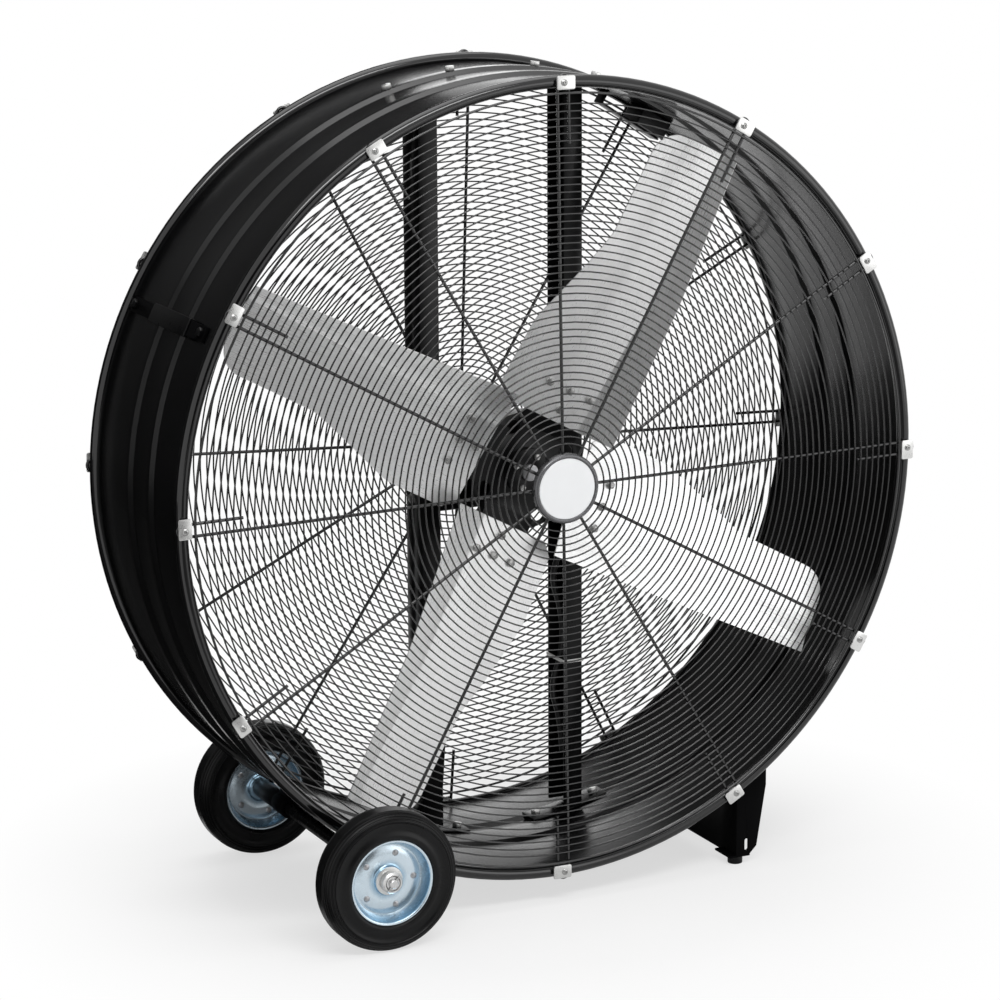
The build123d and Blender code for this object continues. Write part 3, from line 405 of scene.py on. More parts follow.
def aluminium_sheet(name, base, angle):
    """Bare rolled sheet with its grain along the blade."""
    finish = Finish(name)
    blade = {"middle": tuple(FAN), "turned": (0, -angle, 0)}
    grain = finish.noise(finish.here(**blade, scale=(1.4, 60.0, 60.0)), scale=14.0, detail=4.0, roughness=0.6)
    patch = finish.noise(finish.here(**blade), scale=4.0, detail=3.0)
    finish.set(
        Base_Color=finish.shade(finish.ramp(grain, 0.0, 1.0, 0.35, 0.65), tinted(base, 0.93), base),
        Metallic=0.88,
        Roughness=finish.ramp(grain + patch * 0.5, 0.24, 0.34, 0.45, 1.0),
    )
    return finish.relief(grain, strength=0.05, distance=0.0004)


def bright_zinc(name, base, roughness=0.24):
    """Zinc plate: small cloudy crystals and faint scuffs."""
    finish = Finish(name)
    here = finish.here()
    crystal = finish.node("ShaderNodeTexVoronoi", {"feature": "F1"}, Vector=here, Scale=700.0)
    cloud = finish.noise(here, scale=90.0, detail=3.0)
    finish.set(
        Base_Color=finish.clouded(cloud, tinted(base, 0.88), base),
        Metallic=0.85,
        Roughness=finish.ramp(crystal + cloud, roughness - 0.05, roughness + 0.12, 0.3, 1.2),
    )
    return finish.relief(cloud, strength=0.05, distance=0.0003)


def blue_passivated(name, base, deep, middle):
    """Pressed disc in blue-white zinc, deeper in colour at the collar and below the lip, with the
    fine rings that the press leaves."""
    finish = Finish(name)
    here = finish.here(middle=tuple(middle))
    across, upward = finish.outputs("ShaderNodeSeparateXYZ", ("X", "Z"), Vector=here)
    radius = (across * across + upward * upward).root()
    rings = (radius * 9000.0).sine()
    cloud = finish.noise(here, scale=60.0, detail=3.0)
    collar = finish.ramp(radius, 1.0, 0.0, 0.021, 0.030)
    wall = finish.ramp(radius, 0.0, 1.0, 0.050, 0.056)
    lip = finish.ramp(radius, 1.0, 0.0, 0.0565, 0.0580)
    tone = finish.ramp(cloud * 0.25 + collar * 0.7 + wall * lip * 0.9, 0.0, 1.0, 0.15, 1.0)
    finish.set(
        Base_Color=finish.shade(tone, base, deep),
        Metallic=0.85,
        Roughness=finish.ramp(cloud + rings * 0.05, 0.18, 0.32, 0.3, 0.8),
    )
    return finish.relief(rings * 0.2 + cloud, strength=0.06, distance=0.0004)


def moulded_rubber(name, base):
    """Matt rubber with a fine grain."""
    finish = Finish(name)
    here = finish.here()
    grain = finish.noise(here, scale=900.0)
    cloud = finish.noise(here, scale=30.0, detail=3.0)
    finish.set(
        Base_Color=finish.clouded(cloud, base, tinted(base, 1.8)),
        Roughness=finish.drifting(cloud, 0.24, 0.40),
        Specular_IOR_Level=0.2,
    )
    return finish.relief(grain, strength=0.06, distance=0.0004)


def moulded_plastic(name, base, roughness=0.38):
    """Moulded surface with a fine grain."""
    finish = Finish(name)
    here = finish.here()
    grain = finish.noise(here, scale=1500.0)
    cloud = finish.noise(here, scale=40.0)
    finish.set(
        Base_Color=finish.clouded(cloud, tinted(base, 0.92), base),
        Roughness=finish.drifting(cloud, roughness - 0.04, roughness + 0.06),
    )
    return finish.relief(grain, strength=0.1, distance=0.0002)


def part_painted_steel(name, steel_tone, paint_tone, half):
    """Round steel rod, black along its middle and bare towards its ends."""
    finish = Finish(name)
    depth, = finish.outputs("ShaderNodeSeparateXYZ", ("Y",), Vector=finish.here())
    bare = finish.ramp(abs(depth), 0.0, 1.0, half, half + 0.001)
    cloud = finish.noise(finish.here(), scale=90.0, detail=3.0)
    finish.set(
        Base_Color=finish.shade(bare, paint_tone, steel_tone),
        Metallic=bare * 0.85,
        Roughness=finish.drifting(cloud, 0.2, 0.34),
        Specular_IOR_Level=0.15,
    )
    return finish.relief(cloud, strength=0.05, distance=0.0003)


def badge_plate(name, base):
    """Pale, almost smooth plate."""
    finish = Finish(name)
    cloud = finish.noise(finish.here(), scale=50.0)
    finish.set(
        Base_Color=finish.clouded(cloud, tinted(base, 0.98), base),
        Metallic=0.1,
        Roughness=finish.drifting(cloud, 0.30, 0.38),
    )
    return finish.relief(cloud, strength=0.02, distance=0.0002)


made_finishes = {}


def finish_once(name, maker, *values, **options):
    """The finish of this name, made where it isn't there yet."""
    if name not in made_finishes:
        made_finishes[name] = maker(name, *values, **options)
    return made_finishes[name]


def chosen(name):
    """Colour that the user has set."""
    return tuple(getattr(bpy.context.scene.drum_fan_finish, name))


def paint_black():
    return finish_once("drum_paint", gloss_paint, chosen("paint"), roughness=0.22, sheen=0.4)


def bead_black():
    return finish_once("bead_paint", gloss_paint, chosen("paint"), roughness=0.11, sheen=0.6)


def frame_black():
    return finish_once("frame_paint", gloss_paint, chosen("paint"), roughness=0.28, sheen=0.25)


def bracket_black():
    return finish_once("bracket_paint", gloss_paint, chosen("paint"), roughness=0.30, sheen=0.02)


def wire_black():
    return finish_once("guard_coating", gloss_paint, chosen("wire"), roughness=0.16, sheen=0.6, peel=0.02,
                       coat=0.15)


def zinc():
    return finish_once("clip_zinc", bright_zinc, chosen("zinc"))


def steel():
    return finish_once("screw_zinc", bright_zinc, tinted(chosen("zinc"), 0.9), roughness=0.2)


def bolt_steel():
    return finish_once("bolt_zinc", bright_zinc, tinted(chosen("zinc"), 0.55), roughness=0.2)


def shaft_steel():
    return finish_once("ground_steel", bright_zinc, chosen("ground"), roughness=0.26)


def rubber():
    return finish_once("tyre_rubber", moulded_rubber, chosen("rubber"))


def plastic():
    return finish_once("black_plastic", moulded_plastic, chosen("plastic"))


# ---- meshes ----
MERGE = 1e-6  # points closer than this are one
PART_MERGE = 2e-6  # the same in a packed part
SOFT = 34.0  # faces that meet at less than this many degrees are shaded as one surface
SOFT_WIRE = 70.0
SOFT_BLADE = 8.0
SHARP = 28.0  # edges of a packed part over this many degrees are rounded


def about_fan(angle):
    """Matrix that turns a shape round the fan axis."""
    there = Matrix.Translation(FAN)
    return there @ Matrix.Rotation(-angle, 4, "Y") @ there.inverted()


def mesh_of(name, bm):
    """Mesh with a bmesh's content; the bmesh is used up."""
    mesh = bpy.data.meshes.new(name)
    bm.to_mesh(mesh)
    bm.free()
    return mesh


def placed(name, data, material=None):
    """Object of this name in the scene."""
    made = bpy.data.objects.new(name, data)
    bpy.context.scene.collection.objects.link(made)
    if material:
        data.materials.append(material)
    return made


def finished(name, bm, slot, material, *nodes, body=ROOT, corner=SOFT):
    """Make a bmesh a piece of the object, in the place of packed nodes."""
    bmesh.ops.remove_doubles(bm, verts=bm.verts, dist=MERGE)
    bmesh.ops.recalc_face_normals(bm, faces=bm.faces)
    shaded(name, bm, body, material, nodes, corner)


def shaded(name, bm, body, material, nodes, corner):
    """The same for a bmesh whose faces already point outwards."""
    for face in bm.faces:
        face.smooth = True
    for edge in bm.edges:
        edge.smooth = edge.calc_face_angle(pi) < radians(corner)
    made = placed(name, mesh_of(name, bm), material)
    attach(made, body)
    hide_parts(*nodes)


def rounded(bm, geom, offset, segments, affect="EDGES"):
    """Bevel edges or corners to a round."""
    bmesh.ops.bevel(
        bm, geom=geom, offset=offset, offset_type="OFFSET", affect=affect, segments=segments, profile=0.5,
        material=-1, clamp_overlap=True,
    )


def ring_section(bm, middle, wire, sides):
    """Round section of a wire, lying in the plane of x and y."""
    made = bmesh.ops.create_circle(bm, segments=sides, radius=wire / 2, matrix=Matrix.Translation(middle))
    return made["verts"]


def spin_round(bm, verts, steps, middle=FAN):
    """Carry a section once round a line along y and close it on itself."""
    inside = set(verts)
    edges = [edge for edge in bm.edges if inside.issuperset(edge.verts)]
    bmesh.ops.spin(
        bm, geom=list(verts) + edges, cent=middle, axis=Y_AXIS, angle=2 * pi, steps=steps, use_merge=True
    )


def repeat_round(bm, times, middle=FAN):
    """Repeat everything in a bmesh at even angles round a line along y."""
    bmesh.ops.spin(
        bm, geom=bm.verts[:] + bm.edges[:] + bm.faces[:], cent=middle, axis=Y_AXIS,
        angle=2 * pi * (times - 1) / times, steps=times - 1, use_duplicate=True,
    )


def turned_piece(profile, middle, steps, rounding=0.0, segments=2):
    """Solid of revolution about a line along y, from (radius, depth) points; radius 0 closes it."""
    bm = bmesh.new()
    verts = [bm.verts.new(middle + Vector((radius, depth, 0))) for radius, depth in profile]
    for first, second in zip(verts, verts[1:]):
        bm.edges.new((first, second))
    if profile[0][0] > 0:
        bm.edges.new((verts[-1], verts[0]))
    if rounding > 0:
        inner = [vert for vert in verts if len(vert.link_edges) == 2]
        rounded(bm, inner, rounding, segments, "VERTICES")
    spin_round(bm, bm.verts[:], steps, middle)
    return bm


def both_sides(half):
    """Outline of (radius, depth) points with its mirror image in the plane of depth 0."""
    return half + [(radius, -depth) for radius, depth in half[::-1]]


def join_into(bm, other):
    """Add one bmesh to another."""
    mesh = mesh_of("joined", other)
    bm.from_mesh(mesh)
    bpy.data.meshes.remove(mesh)


def both_faces(profile, middle, steps):
    """Two turned solids, each the mirror image of the other."""
    bm = bmesh.new()
    for side in (-1, 1):
        join_into(bm, turned_piece([(radius, side * depth) for radius, depth in profile], middle, steps))
    return bm


def dressed(node, material, rounding, segments=2, corner=SOFT, flat=1.0):
    """Packed part with its flat faces made whole and its sharp edges rounded."""
    bm = bmesh.new()
    bm.from_mesh(frame["nodes"][node].data)
    bmesh.ops.remove_doubles(bm, verts=bm.verts, dist=PART_MERGE)
    bmesh.ops.dissolve_limit(
        bm, angle_limit=radians(flat), verts=bm.verts[:], edges=bm.edges[:], delimit=set()
    )
    sharp = [edge for edge in bm.edges if edge.is_manifold and edge.calc_face_angle(0.0) > radians(SHARP)]
    rounded(bm, sharp, rounding, segments)
    shaded(f"{node}_skin", bm, frame["nodes"][node]["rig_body"], material, (node,), corner)


# ---- drum ----
class DRUMFAN_OT_drum(bpy.types.Operator):
    """Rolled drum with swaged ribs and round beads"""

    bl_idname = "drum_fan.drum"
    bl_label = "Drum"

    BEND_SEGMENTS = 3
    BEAD_SIDES = 16
    SOFT_SHEET = 40.0

    def execute(self, context):
        sizes = context.scene.drum_fan_drum
        outline = self.side(sizes, sizes.radius) + self.side(sizes, sizes.radius - sizes.sheet)[::-1]
        sheet = turned_piece(outline, FAN, sizes.steps, sizes.bend, self.BEND_SEGMENTS)
        finished("drum_sheet", sheet, "drum_black", paint_black(), "drum_shell", corner=self.SOFT_SHEET)
        beads = bmesh.new()
        for face in (-1, 1):
            middle = FAN + Vector((sizes.radius + sizes.bead_out, face * sizes.rim, 0))
            spin_round(beads, ring_section(beads, middle, 2 * sizes.bead, self.BEAD_SIDES), sizes.steps)
        finished("drum_beads", beads, "drum_black", bead_black(), "drum_shell", corner=self.SOFT_SHEET)
        return {"FINISHED"}

    @staticmethod
    def side(sizes, radius):
        """One face of the sheet, from the front rim over both ribs to the rear rim."""
        foot, top, high = sizes.rib_width / 2, sizes.rib_top / 2, radius + sizes.rib_height
        outline = [(radius, -sizes.rim)]
        for middle in (-sizes.rib, sizes.rib):
            outline += [(radius, middle - foot), (high, middle - top)]
            outline += [(high, middle + top), (radius, middle + foot)]
        return outline + [(radius, sizes.rim)]


# ---- guards ----
RING_SIDES = 6  # sides of the rings' wire
SPOKE_SIDES = 8
HAIRPIN_STEPS = 10  # pieces of a hairpin's bend
FEWEST_STEPS = 40  # pieces of the smallest ring, and four more for each STEP_EVERY of its radius
STEP_EVERY = 0.022


def guard_rings(sizes, depth_at):
    """All rings of a guard; depth_at gives the y of a ring's middle from its radius and wire."""
    rings = bmesh.new()
    wires = [(sizes.first_ring + sizes.pitch * k, sizes.ring_wire) for k in range(sizes.rings)]
    for radius, wire in wires + [(sizes.rim_ring, sizes.rim_wire)]:
        ring = bmesh.new()
        middle = Vector((FAN.x + radius, depth_at(radius, wire), FAN.z))
        steps = FEWEST_STEPS + 4 * ceil(radius / STEP_EVERY)
        spin_round(ring, ring_section(ring, middle, wire, RING_SIDES), steps)
        join_into(rings, ring)
    return rings


def hairpin(sizes, depth, side):
    """One spoke along +x: the long leg, a half turn round the screw, and the short leg."""
    bm = bmesh.new()
    bend = sizes.leg_gap / 2
    turn_x = FAN.x + sizes.tip - bend
    start = Matrix.Translation((FAN.x + sizes.long_leg, depth, FAN.z)) @ Matrix.Rotation(pi / 2, 4, "Y")
    wire = sizes.spoke_wire / 2
    bmesh.ops.create_circle(bm, cap_ends=True, segments=SPOKE_SIDES, radius=wire, matrix=start)
    end = run_on(bm, bm.faces[:][0], Vector((turn_x - FAN.x - sizes.long_leg, 0, 0)))
    bent = bmesh.ops.spin(
        bm, geom=[end, *end.edges, *end.verts], cent=(turn_x, depth, FAN.z + side * bend), axis=Y_AXIS,
        angle=-side * pi, steps=HAIRPIN_STEPS,
    )
    end = next(item for item in bent["geom_last"] if isinstance(item, bmesh.types.BMFace))
    run_on(bm, end, Vector((FAN.x + sizes.short_leg - turn_x, 0, 0)))
    return bm


def run_on(bm, face, step):
    """Extrude a face straight on and return the new end."""
    made = bmesh.ops.extrude_face_region(bm, geom=[face])["geom"]
    bmesh.ops.translate(bm, vec=step, verts=[item for item in made if isinstance(item, bmesh.types.BMVert)])
    return next(item for item in made if isinstance(item, bmesh.types.BMFace))


def guard_spokes(sizes, depth, side, turned, lean):
    """Hairpins at even angles, each lying evenly about its screw."""
    spokes = hairpin(sizes, depth, side)
    lead = atan2(sizes.leg_gap / 2, sizes.tip - sizes.leg_gap / 2)
    bmesh.ops.transform(spokes, matrix=about_fan(turned - side * lead) @ lean, verts=spokes.verts)
    repeat_round(spokes, sizes.spokes)
    return spokes


def guard_piece(name, bm, *nodes):
    finished(name, bm, "guard_wire", wire_black(), *nodes, corner=SOFT_WIRE)


class DRUMFAN_OT_front_guard(bpy.types.Operator):
    """Front guard: closely spaced rings on hairpin spokes"""

    bl_idname = "drum_fan.front_guard"
    bl_label = "Front guard"

    def execute(self, context):
        sizes = context.scene.drum_fan_guards
        rings = guard_rings(sizes, lambda radius, wire: SPOKE_FRONT - wire / 2 + sizes.weld)
        guard_piece("front_rings", rings, "front_guard_rings")
        spokes = guard_spokes(sizes, (SPOKE_FRONT + SPOKE_BACK) / 2, -1, 0.0, Matrix.Identity(4))
        guard_piece("front_spokes", spokes, "front_guard_spokes")
        return {"FINISHED"}


class DRUMFAN_OT_rear_guard(bpy.types.Operator):
    """Rear guard: the same pattern, dished inwards and turned a little"""

    bl_idname = "drum_fan.rear_guard"
    bl_label = "Rear guard"

    def execute(self, context):
        sizes = context.scene.drum_fan_guards
        face = -SPOKE_FRONT
        dished = sizes.rim_ring - sizes.long_leg
        slope = sizes.dish / dished
        rings = guard_rings(
            sizes, lambda radius, wire: face - slope * (sizes.rim_ring - radius) + wire / 2 - sizes.weld
        )
        guard_piece("rear_rings", rings, "rear_guard_rings", "rear_guard_inner_ring")
        pivot = Matrix.Translation((FAN.x + sizes.rim_ring, face - sizes.spoke_wire, FAN.z))
        lean = pivot @ Matrix.Rotation(atan2(sizes.dish, dished), 4, "Z") @ pivot.inverted()
        spokes = guard_spokes(sizes, face - sizes.spoke_wire / 2, 1, sizes.rear_turn, lean)
        guard_piece("rear_spokes", spokes, "rear_guard_spokes")
        return {"FINISHED"}


# ---- clips and badge ----
class DRUMFAN_OT_clips(bpy.types.Operator):
    """Clips and their screws on both rims"""

    bl_idname = "drum_fan.clips"
    bl_label = "Clips"

    # Pan head with a recess, as shares of its radius and height
    HEAD = ((0.0, 0.0), (1.0, 0.0), (1.0, 0.45), (0.72, 0.9), (0.38, 1.0), (0.34, 0.4), (0.0, 0.4))
    HEAD_STEPS = 20
    CORNER_SEGMENTS, EDGE_SEGMENTS = 5, 2
    SHARP_CLIP = 50.0

    def execute(self, context):
        sizes = context.scene.drum_fan_clips
        guard = context.scene.drum_fan_guards
        circle = context.scene.drum_fan_drum.radius + sizes.circle
        for rim, side, turned in (("front", -1, 0.0), ("rear", 1, guard.rear_turn)):
            seat, head = sorted(span(f"{rim}_clip_screws", Y), reverse=side < 0)
            plates = self.plate(sizes, FAN.x + circle, span(f"{rim}_clip_plates", Y))
            self.spread(plates, turned, guard.spokes)
            finished(f"{rim}_clips", plates, "zinc_plate", zinc(), f"{rim}_clip_plates")
            profile = [(out * sizes.screw, seat + high * (head - seat)) for out, high in self.HEAD]
            screws = turned_piece(profile, Vector((FAN.x + circle, 0, FAN.z)), self.HEAD_STEPS)
            self.spread(screws, turned, guard.spokes)
            finished(f"{rim}_screw_heads", screws, "screw_steel", bolt_steel(), f"{rim}_clip_screws")
        return {"FINISHED"}

    @staticmethod
    def spread(bm, turned, times):
        """From the first place, turned with its guard, to all round the rim."""
        bmesh.ops.transform(bm, matrix=about_fan(turned), verts=bm.verts)
        repeat_round(bm, times)

    def plate(self, sizes, screw_x, depths):
        """Plate with round corners whose longer end lies clockwise from the screw."""
        bm = bmesh.new()
        thick = depths[1] - depths[0]
        bmesh.ops.create_cube(bm, size=1.0)
        bmesh.ops.scale(bm, vec=(sizes.across, thick, sizes.along), verts=bm.verts)
        here = Vector((screw_x, (depths[0] + depths[1]) / 2, FAN.z - sizes.shift))
        bmesh.ops.translate(bm, vec=here, verts=bm.verts)
        upright = [edge for edge in bm.edges if abs((edge.verts[0].co - edge.verts[1].co).y) > thick / 2]
        rounded(bm, upright, sizes.corner, self.CORNER_SEGMENTS)
        sharp = [edge for edge in bm.edges if edge.calc_face_angle(0.0) > radians(self.SHARP_CLIP)]
        rounded(bm, sharp, sizes.edge, self.EDGE_SEGMENTS)
        return bm


class DRUMFAN_OT_badge(bpy.types.Operator):
    """Spun cup with a plain face"""

    bl_idname = "drum_fan.badge"
    bl_label = "Badge"

    FIT = 0.0002  # between the plate and the cup
    SINK = 0.0006  # from the cup's lip down to the plate's edge
    LIP = 0.0012  # width of the slope inside the lip
    SHOULDER = (0.0022, 0.0024)  # width and depth of the slope outside the lip
    ROUNDING = 0.0005
    PLATE_EDGE = (0.0008, 0.0006)  # width and depth of the slope round the plate
    STEPS = 72

    def execute(self, context):
        (front, back), (face, seat) = span("badge_ring", Y), span("badge_face", Y)
        rim, inner = radius_of("badge_ring"), radius_of("badge_face")
        wall = inner + self.FIT
        cup = [(0.0, seat), (wall, seat), (wall, front + self.SINK), (inner + self.LIP, front),
               (rim - self.SHOULDER[0], front), (rim, front + self.SHOULDER[1]), (rim, back), (0.0, back)]
        # Dark colour of the cup is painted shade round the badge's face; the cup's metal itself is bright
        dark = finish_once("badge_rim", bright_zinc, chosen("cup"), roughness=0.16)
        finished("badge_cup", turned_piece(cup, FAN, self.STEPS, self.ROUNDING), "badge_cup", dark,
                 "badge_ring")
        plate = [(0.0, face), (inner - self.PLATE_EDGE[0], face), (inner, face + self.PLATE_EDGE[1]),
                 (inner, seat), (0.0, seat)]
        pale = finish_once("badge_pale", badge_plate, chosen("badge"))
        finished("badge_plain_face", turned_piece(plate, FAN, self.STEPS), "badge_blank", pale,
                 "badge_face")
        return {"FINISHED"}


# ---- rotor ----
class DRUMFAN_OT_rotor(bpy.types.Operator):
    """Folded blades, hub and their bolts"""

    bl_idname = "drum_fan.rotor"
    bl_label = "Rotor"

    def execute(self, context):
        sizes = context.scene.drum_fan_blades
        for k in range(sizes.blades):
            angle = sizes.first_angle + 2 * pi * k / sizes.blades
            sheet = finish_once(f"blade_sheet_{k + 1}", aluminium_sheet, chosen("sheet"), angle)
            dressed(f"blade_{k + 1}", sheet, sizes.edge, corner=SOFT_BLADE, flat=0.5)
        dressed("hub_spider", frame_black(), sizes.hub_edge)
        dressed("hub_bolts", steel(), 0.0006)
        dressed("blade_bolts", bolt_steel(), 0.0009)
        dressed("motor_shaft", shaft_steel(), 0.0008)
        return {"FINISHED"}


# ---- motor and its posts ----
class DRUMFAN_OT_motor(bpy.types.Operator):
    """Motor, posts, brackets and their bolts"""

    bl_idname = "drum_fan.motor"
    bl_label = "Motor and posts"

    NOSE, NOSE_FOOT = 0.5, 0.62  # shares of the motor's radius where its nose ends
    STEP = 0.003  # height of the nose over the cap
    ROUND = 0.004  # slope at the motor's ends, in width
    GAP = 0.0004  # seam between the cap and the body
    INSET = 0.001  # how far the body lies inside the cap
    ROUNDING = 0.0009
    STEPS = 64

    def execute(self, context):
        self.motor()
        brackets = ("post_brackets_top", "post_brackets_bottom", "motor_cross_bars")
        for node in ("post_left", "post_right", *brackets):
            dressed(node, frame_black(), 0.0011)
        for node in ("post_bolts", "motor_bolts"):
            dressed(node, steel(), 0.0008)
        dressed("cable_gland", plastic(), 0.0009)
        return {"FINISHED"}

    def motor(self):
        """Round body with a stepped cap in front."""
        front, (seam, back) = span("motor_front_cap", Y)[0], span("motor_body", Y)
        radius = radius_of("motor_body")
        step, edge = front + self.STEP, seam - self.GAP
        cap = [(0.0, front), (radius * self.NOSE, front), (radius * self.NOSE_FOOT, step),
               (radius - self.ROUND, step), (radius, step + self.STEP), (radius, edge), (0.0, edge)]
        inset = radius - self.INSET
        body = [(0.0, seam), (inset, seam), (inset, back - self.ROUND), (radius - self.ROUND, back),
                (0.0, back)]
        shapes = (("motor_cap", cap, "motor_front_cap"), ("motor_drum", body, "motor_body"))
        for name, profile, node in shapes:
            piece = turned_piece(profile, FAN, self.STEPS, self.ROUNDING)
            finished(name, piece, "motor_black", frame_black(), node)


class DRUMFAN_OT_cable(bpy.types.Operator):
    """Motor cable with the tie that holds it to the post"""

    bl_idname = "drum_fan.cable"
    bl_label = "Cable"

    LENGTH = 0.4259
    DIAMETER = 0.009
    GLAND_OUT = 0.014  # gland's end outside the motor's body
    GLAND_DEPTH = -0.012
    FIRST_RUN = 0.030  # straight run out of the gland
    POST = (0.1135, 0.041)  # x and y of the post's middle
    # Points of the route, counted from the post's middle at the height of the fan axis
    ROUTE = (
        (-0.0187, -0.0436, -0.110), (-0.0232, -0.0234, -0.150), (-0.0235, -0.003, -0.192),
        (-0.0055, 0.0, -0.241), (-0.0025, 0.0, -0.301), (-0.0255, -0.002, -0.357),
        (-0.0065, 0.0, -0.410), (-0.0045, 0.0, -0.457),
    )

    def execute(self, context):
        reach = (radius_of("motor_body") + self.GLAND_OUT) * sqrt(0.5)
        start = Vector((FAN.x + reach, self.GLAND_DEPTH, FAN.z - reach))
        second = start + Vector((1, 0, -1)) * self.FIRST_RUN * sqrt(0.5)
        post = Vector((*self.POST, FAN.z))
        sheath = finish_once("cable_sheath", moulded_plastic, chosen("sheath"))
        curve = self.curve([start, second] + [post + Vector(step) for step in self.ROUTE])
        cable = placed("motor_cable_sheath", curve, sheath)
        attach(cable, ROOT)
        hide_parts("motor_cable")
        nylon = finish_once("tie_nylon", moulded_plastic, chosen("nylon"), roughness=0.34)
        dressed("cable_tie", nylon, 0.0004)
        return {"FINISHED"}

    def curve(self, points):
        """Round cable along a smooth line."""
        curve = bpy.data.curves.new("cable_line", "CURVE")
        curve.dimensions = "3D"
        curve.bevel_depth = self.DIAMETER / 2
        curve.bevel_resolution = 5
        curve.use_fill_caps = True
        spline = curve.splines.new("NURBS")
        spline.points.add(len(points) - 1)
        for knot, point in zip(spline.points, points):
            knot.co = (*point, 1.0)
        spline.order_u = 3
        spline.use_endpoint_u = True
        spline.resolution_u = 10
        return curve


class DRUMFAN_OT_box_and_handle(bpy.types.Operator):
    """Switch box inside the drum and the carrying strap outside it"""

    bl_idname = "drum_fan.box_and_handle"
    bl_label = "Switch box and strap"

    def execute(self, context):
        dressed("switch_box", plastic(), 0.0025, 3)
        dressed("switch_box_strap", frame_black(), 0.0008)
        dressed("handle_strap", bracket_black(), 0.0008)
        dressed("handle_grip", rubber(), 0.0018, 3)
        dressed("handle_bolts", frame_black(), 0.0008)
        return {"FINISHED"}


# ---- wheels ----
class DRUMFAN_OT_wheels(bpy.types.Operator):
    """Grooved tyres on pressed discs, with the axle"""

    bl_idname = "drum_fan.wheels"
    bl_label = "Wheels"

    STEPS, CAP_STEPS, AXLE_STEPS, RIVET_STEPS, PIN_SIDES = 96, 40, 32, 18, 10
    SOFT_TYRE, SOFT_DISC = 50.0, 40.0
    # Tyre: its raised ring as (out from the disc, in from the side), then its flat side as (in
    # from the tread, in from the side), and a groove as (place in its stretch, share of its depth)
    FIT, SHOULDER_IN = 0.0003, 0.0008
    BEAD = ((0.0, 0.003), (0.002, 0.0005), (0.008, 0.0), (0.010, 0.0018))
    SIDE = ((0.018, 0.0022), (0.016, 0.0008))
    GROOVE = ((-0.3, 0.0), (-0.12, 1.0), (0.12, 1.0), (0.3, 0.0))
    # Disc: its collar and its raised ring as (radius, height over the flat)
    COLLAR = ((0.0105, 0.0048), (0.0172, 0.0048), (0.0186, 0.0038), (0.0198, 0.0022), (0.0212, 0.0006))
    RING = ((0.030, 0.0012), (0.0455, 0.0012), (0.0472, 0.0), (0.0500, 0.0), (0.0535, 0.004))
    LIP_EDGE, LIP_FOOT, LIP_BEND = 0.0012, 0.003, 0.0008
    # Rivet: its head as (radius, height over its seat)
    RIVET = ((0.0, 0.0), (0.0046, 0.0), (0.0044, 0.0012), (0.003, 0.0022), (0.0, 0.0025))
    RIVET_SEAT = 0.0008  # over the disc's flat
    # Axle: its thin ends, and the split pin through each of them
    END_RADIUS, END_LENGTH, END_EDGE = 0.0062, 0.0045, 0.001
    AXLE_EDGE = (0.0006, 0.0007)
    PIN_RADIUS, PIN_LENGTH, PIN_IN, PIN_TURN = 0.0013, 0.024, 0.0022, radians(40)
    # Cap: its hole round the axle, and the slopes at its foot, rim and mouth
    CAP_HOLE = 0.0102
    CAP_FOOT, CAP_RIM, CAP_MOUTH = (0.0004, 0.0006), (0.0022, 0.0022), (0.001, 0.002)

    def execute(self, context):
        sizes = context.scene.drum_fan_wheels
        for side in WHEELS:
            body, middle = f"{side}_wheel", WHEEL_CENTRE[side]
            finished(f"{side}_tyre_rubber", self.tyre(sizes, middle), "tyre_black", rubber(),
                     f"{side}_tyre", body=body, corner=self.SOFT_TYRE)
            blue = finish_once(f"{side}_disc_zinc", blue_passivated, chosen("blue_zinc"),
                               chosen("deep_blue"), middle)
            finished(f"{side}_pressed_disc", self.disc(sizes, middle), "wheel_zinc", blue,
                     f"{side}_wheel_disc", body=body, corner=self.SOFT_DISC)
            finished(f"{side}_rivet_heads", self.rivets(sizes, middle), "screw_steel", shaft_steel(),
                     f"{side}_wheel_rivets", body=body)
            dressed(f"{side}_axle_bracket", bracket_black(), 0.001)
        rod = finish_once("axle_rod", part_painted_steel, chosen("rod"), chosen("paint"), sizes.black_half)
        finished("axle_rod", self.axle(), "shaft_steel", rod, "axle")
        dressed("axle_bracket_bolts", steel(), 0.0008)
        dressed("axle_spacers", frame_black(), 0.0006)
        dressed("axle_washers", zinc(), 0.0006)
        finished("axle_caps", self.caps(sizes), "screw_steel", zinc(), "axle_nuts")
        return {"FINISHED"}

    def tyre(self, sizes, middle):
        """Tyre with a raised ring beside the rim, flat sides and round, grooved shoulders."""
        rim, tread, half = sizes.rim + self.FIT, sizes.tyre, sizes.half_width
        outline = [(rim + out, half - deep) for out, deep in self.BEAD]
        outline += [(tread - short, half - deep) for short, deep in self.SIDE]
        top, side = tread - sizes.shoulder, half - self.SHOULDER_IN - sizes.shoulder
        for k in range(sizes.grooves):
            for offset, drop in self.GROOVE:
                angle = pi / 2 * (k + 0.5 + offset) / sizes.grooves
                reach = sizes.shoulder - drop * sizes.groove
                outline.append((top + reach * sin(angle), side + reach * cos(angle)))
        return turned_piece(both_sides(outline), middle, self.STEPS)

    def disc(self, sizes, middle):
        """Pressed disc: a flared collar, stepped flat, steep wall and lip, the same on both faces."""
        flat, lip, wall, rim, edge = sizes.flat, sizes.lip, sizes.wall, sizes.rim, self.LIP_EDGE
        face = [(radius, flat + high) for radius, high in self.COLLAR] + [(sizes.collar, flat)]
        face += [(radius, flat + high) for radius, high in self.RING]
        face += [(wall - edge, lip - self.LIP_FOOT), (wall, lip - self.LIP_BEND), (wall + edge, lip),
                 (rim - edge / 2, lip), (rim, lip - edge)]
        return turned_piece(both_sides(face), middle, self.STEPS)

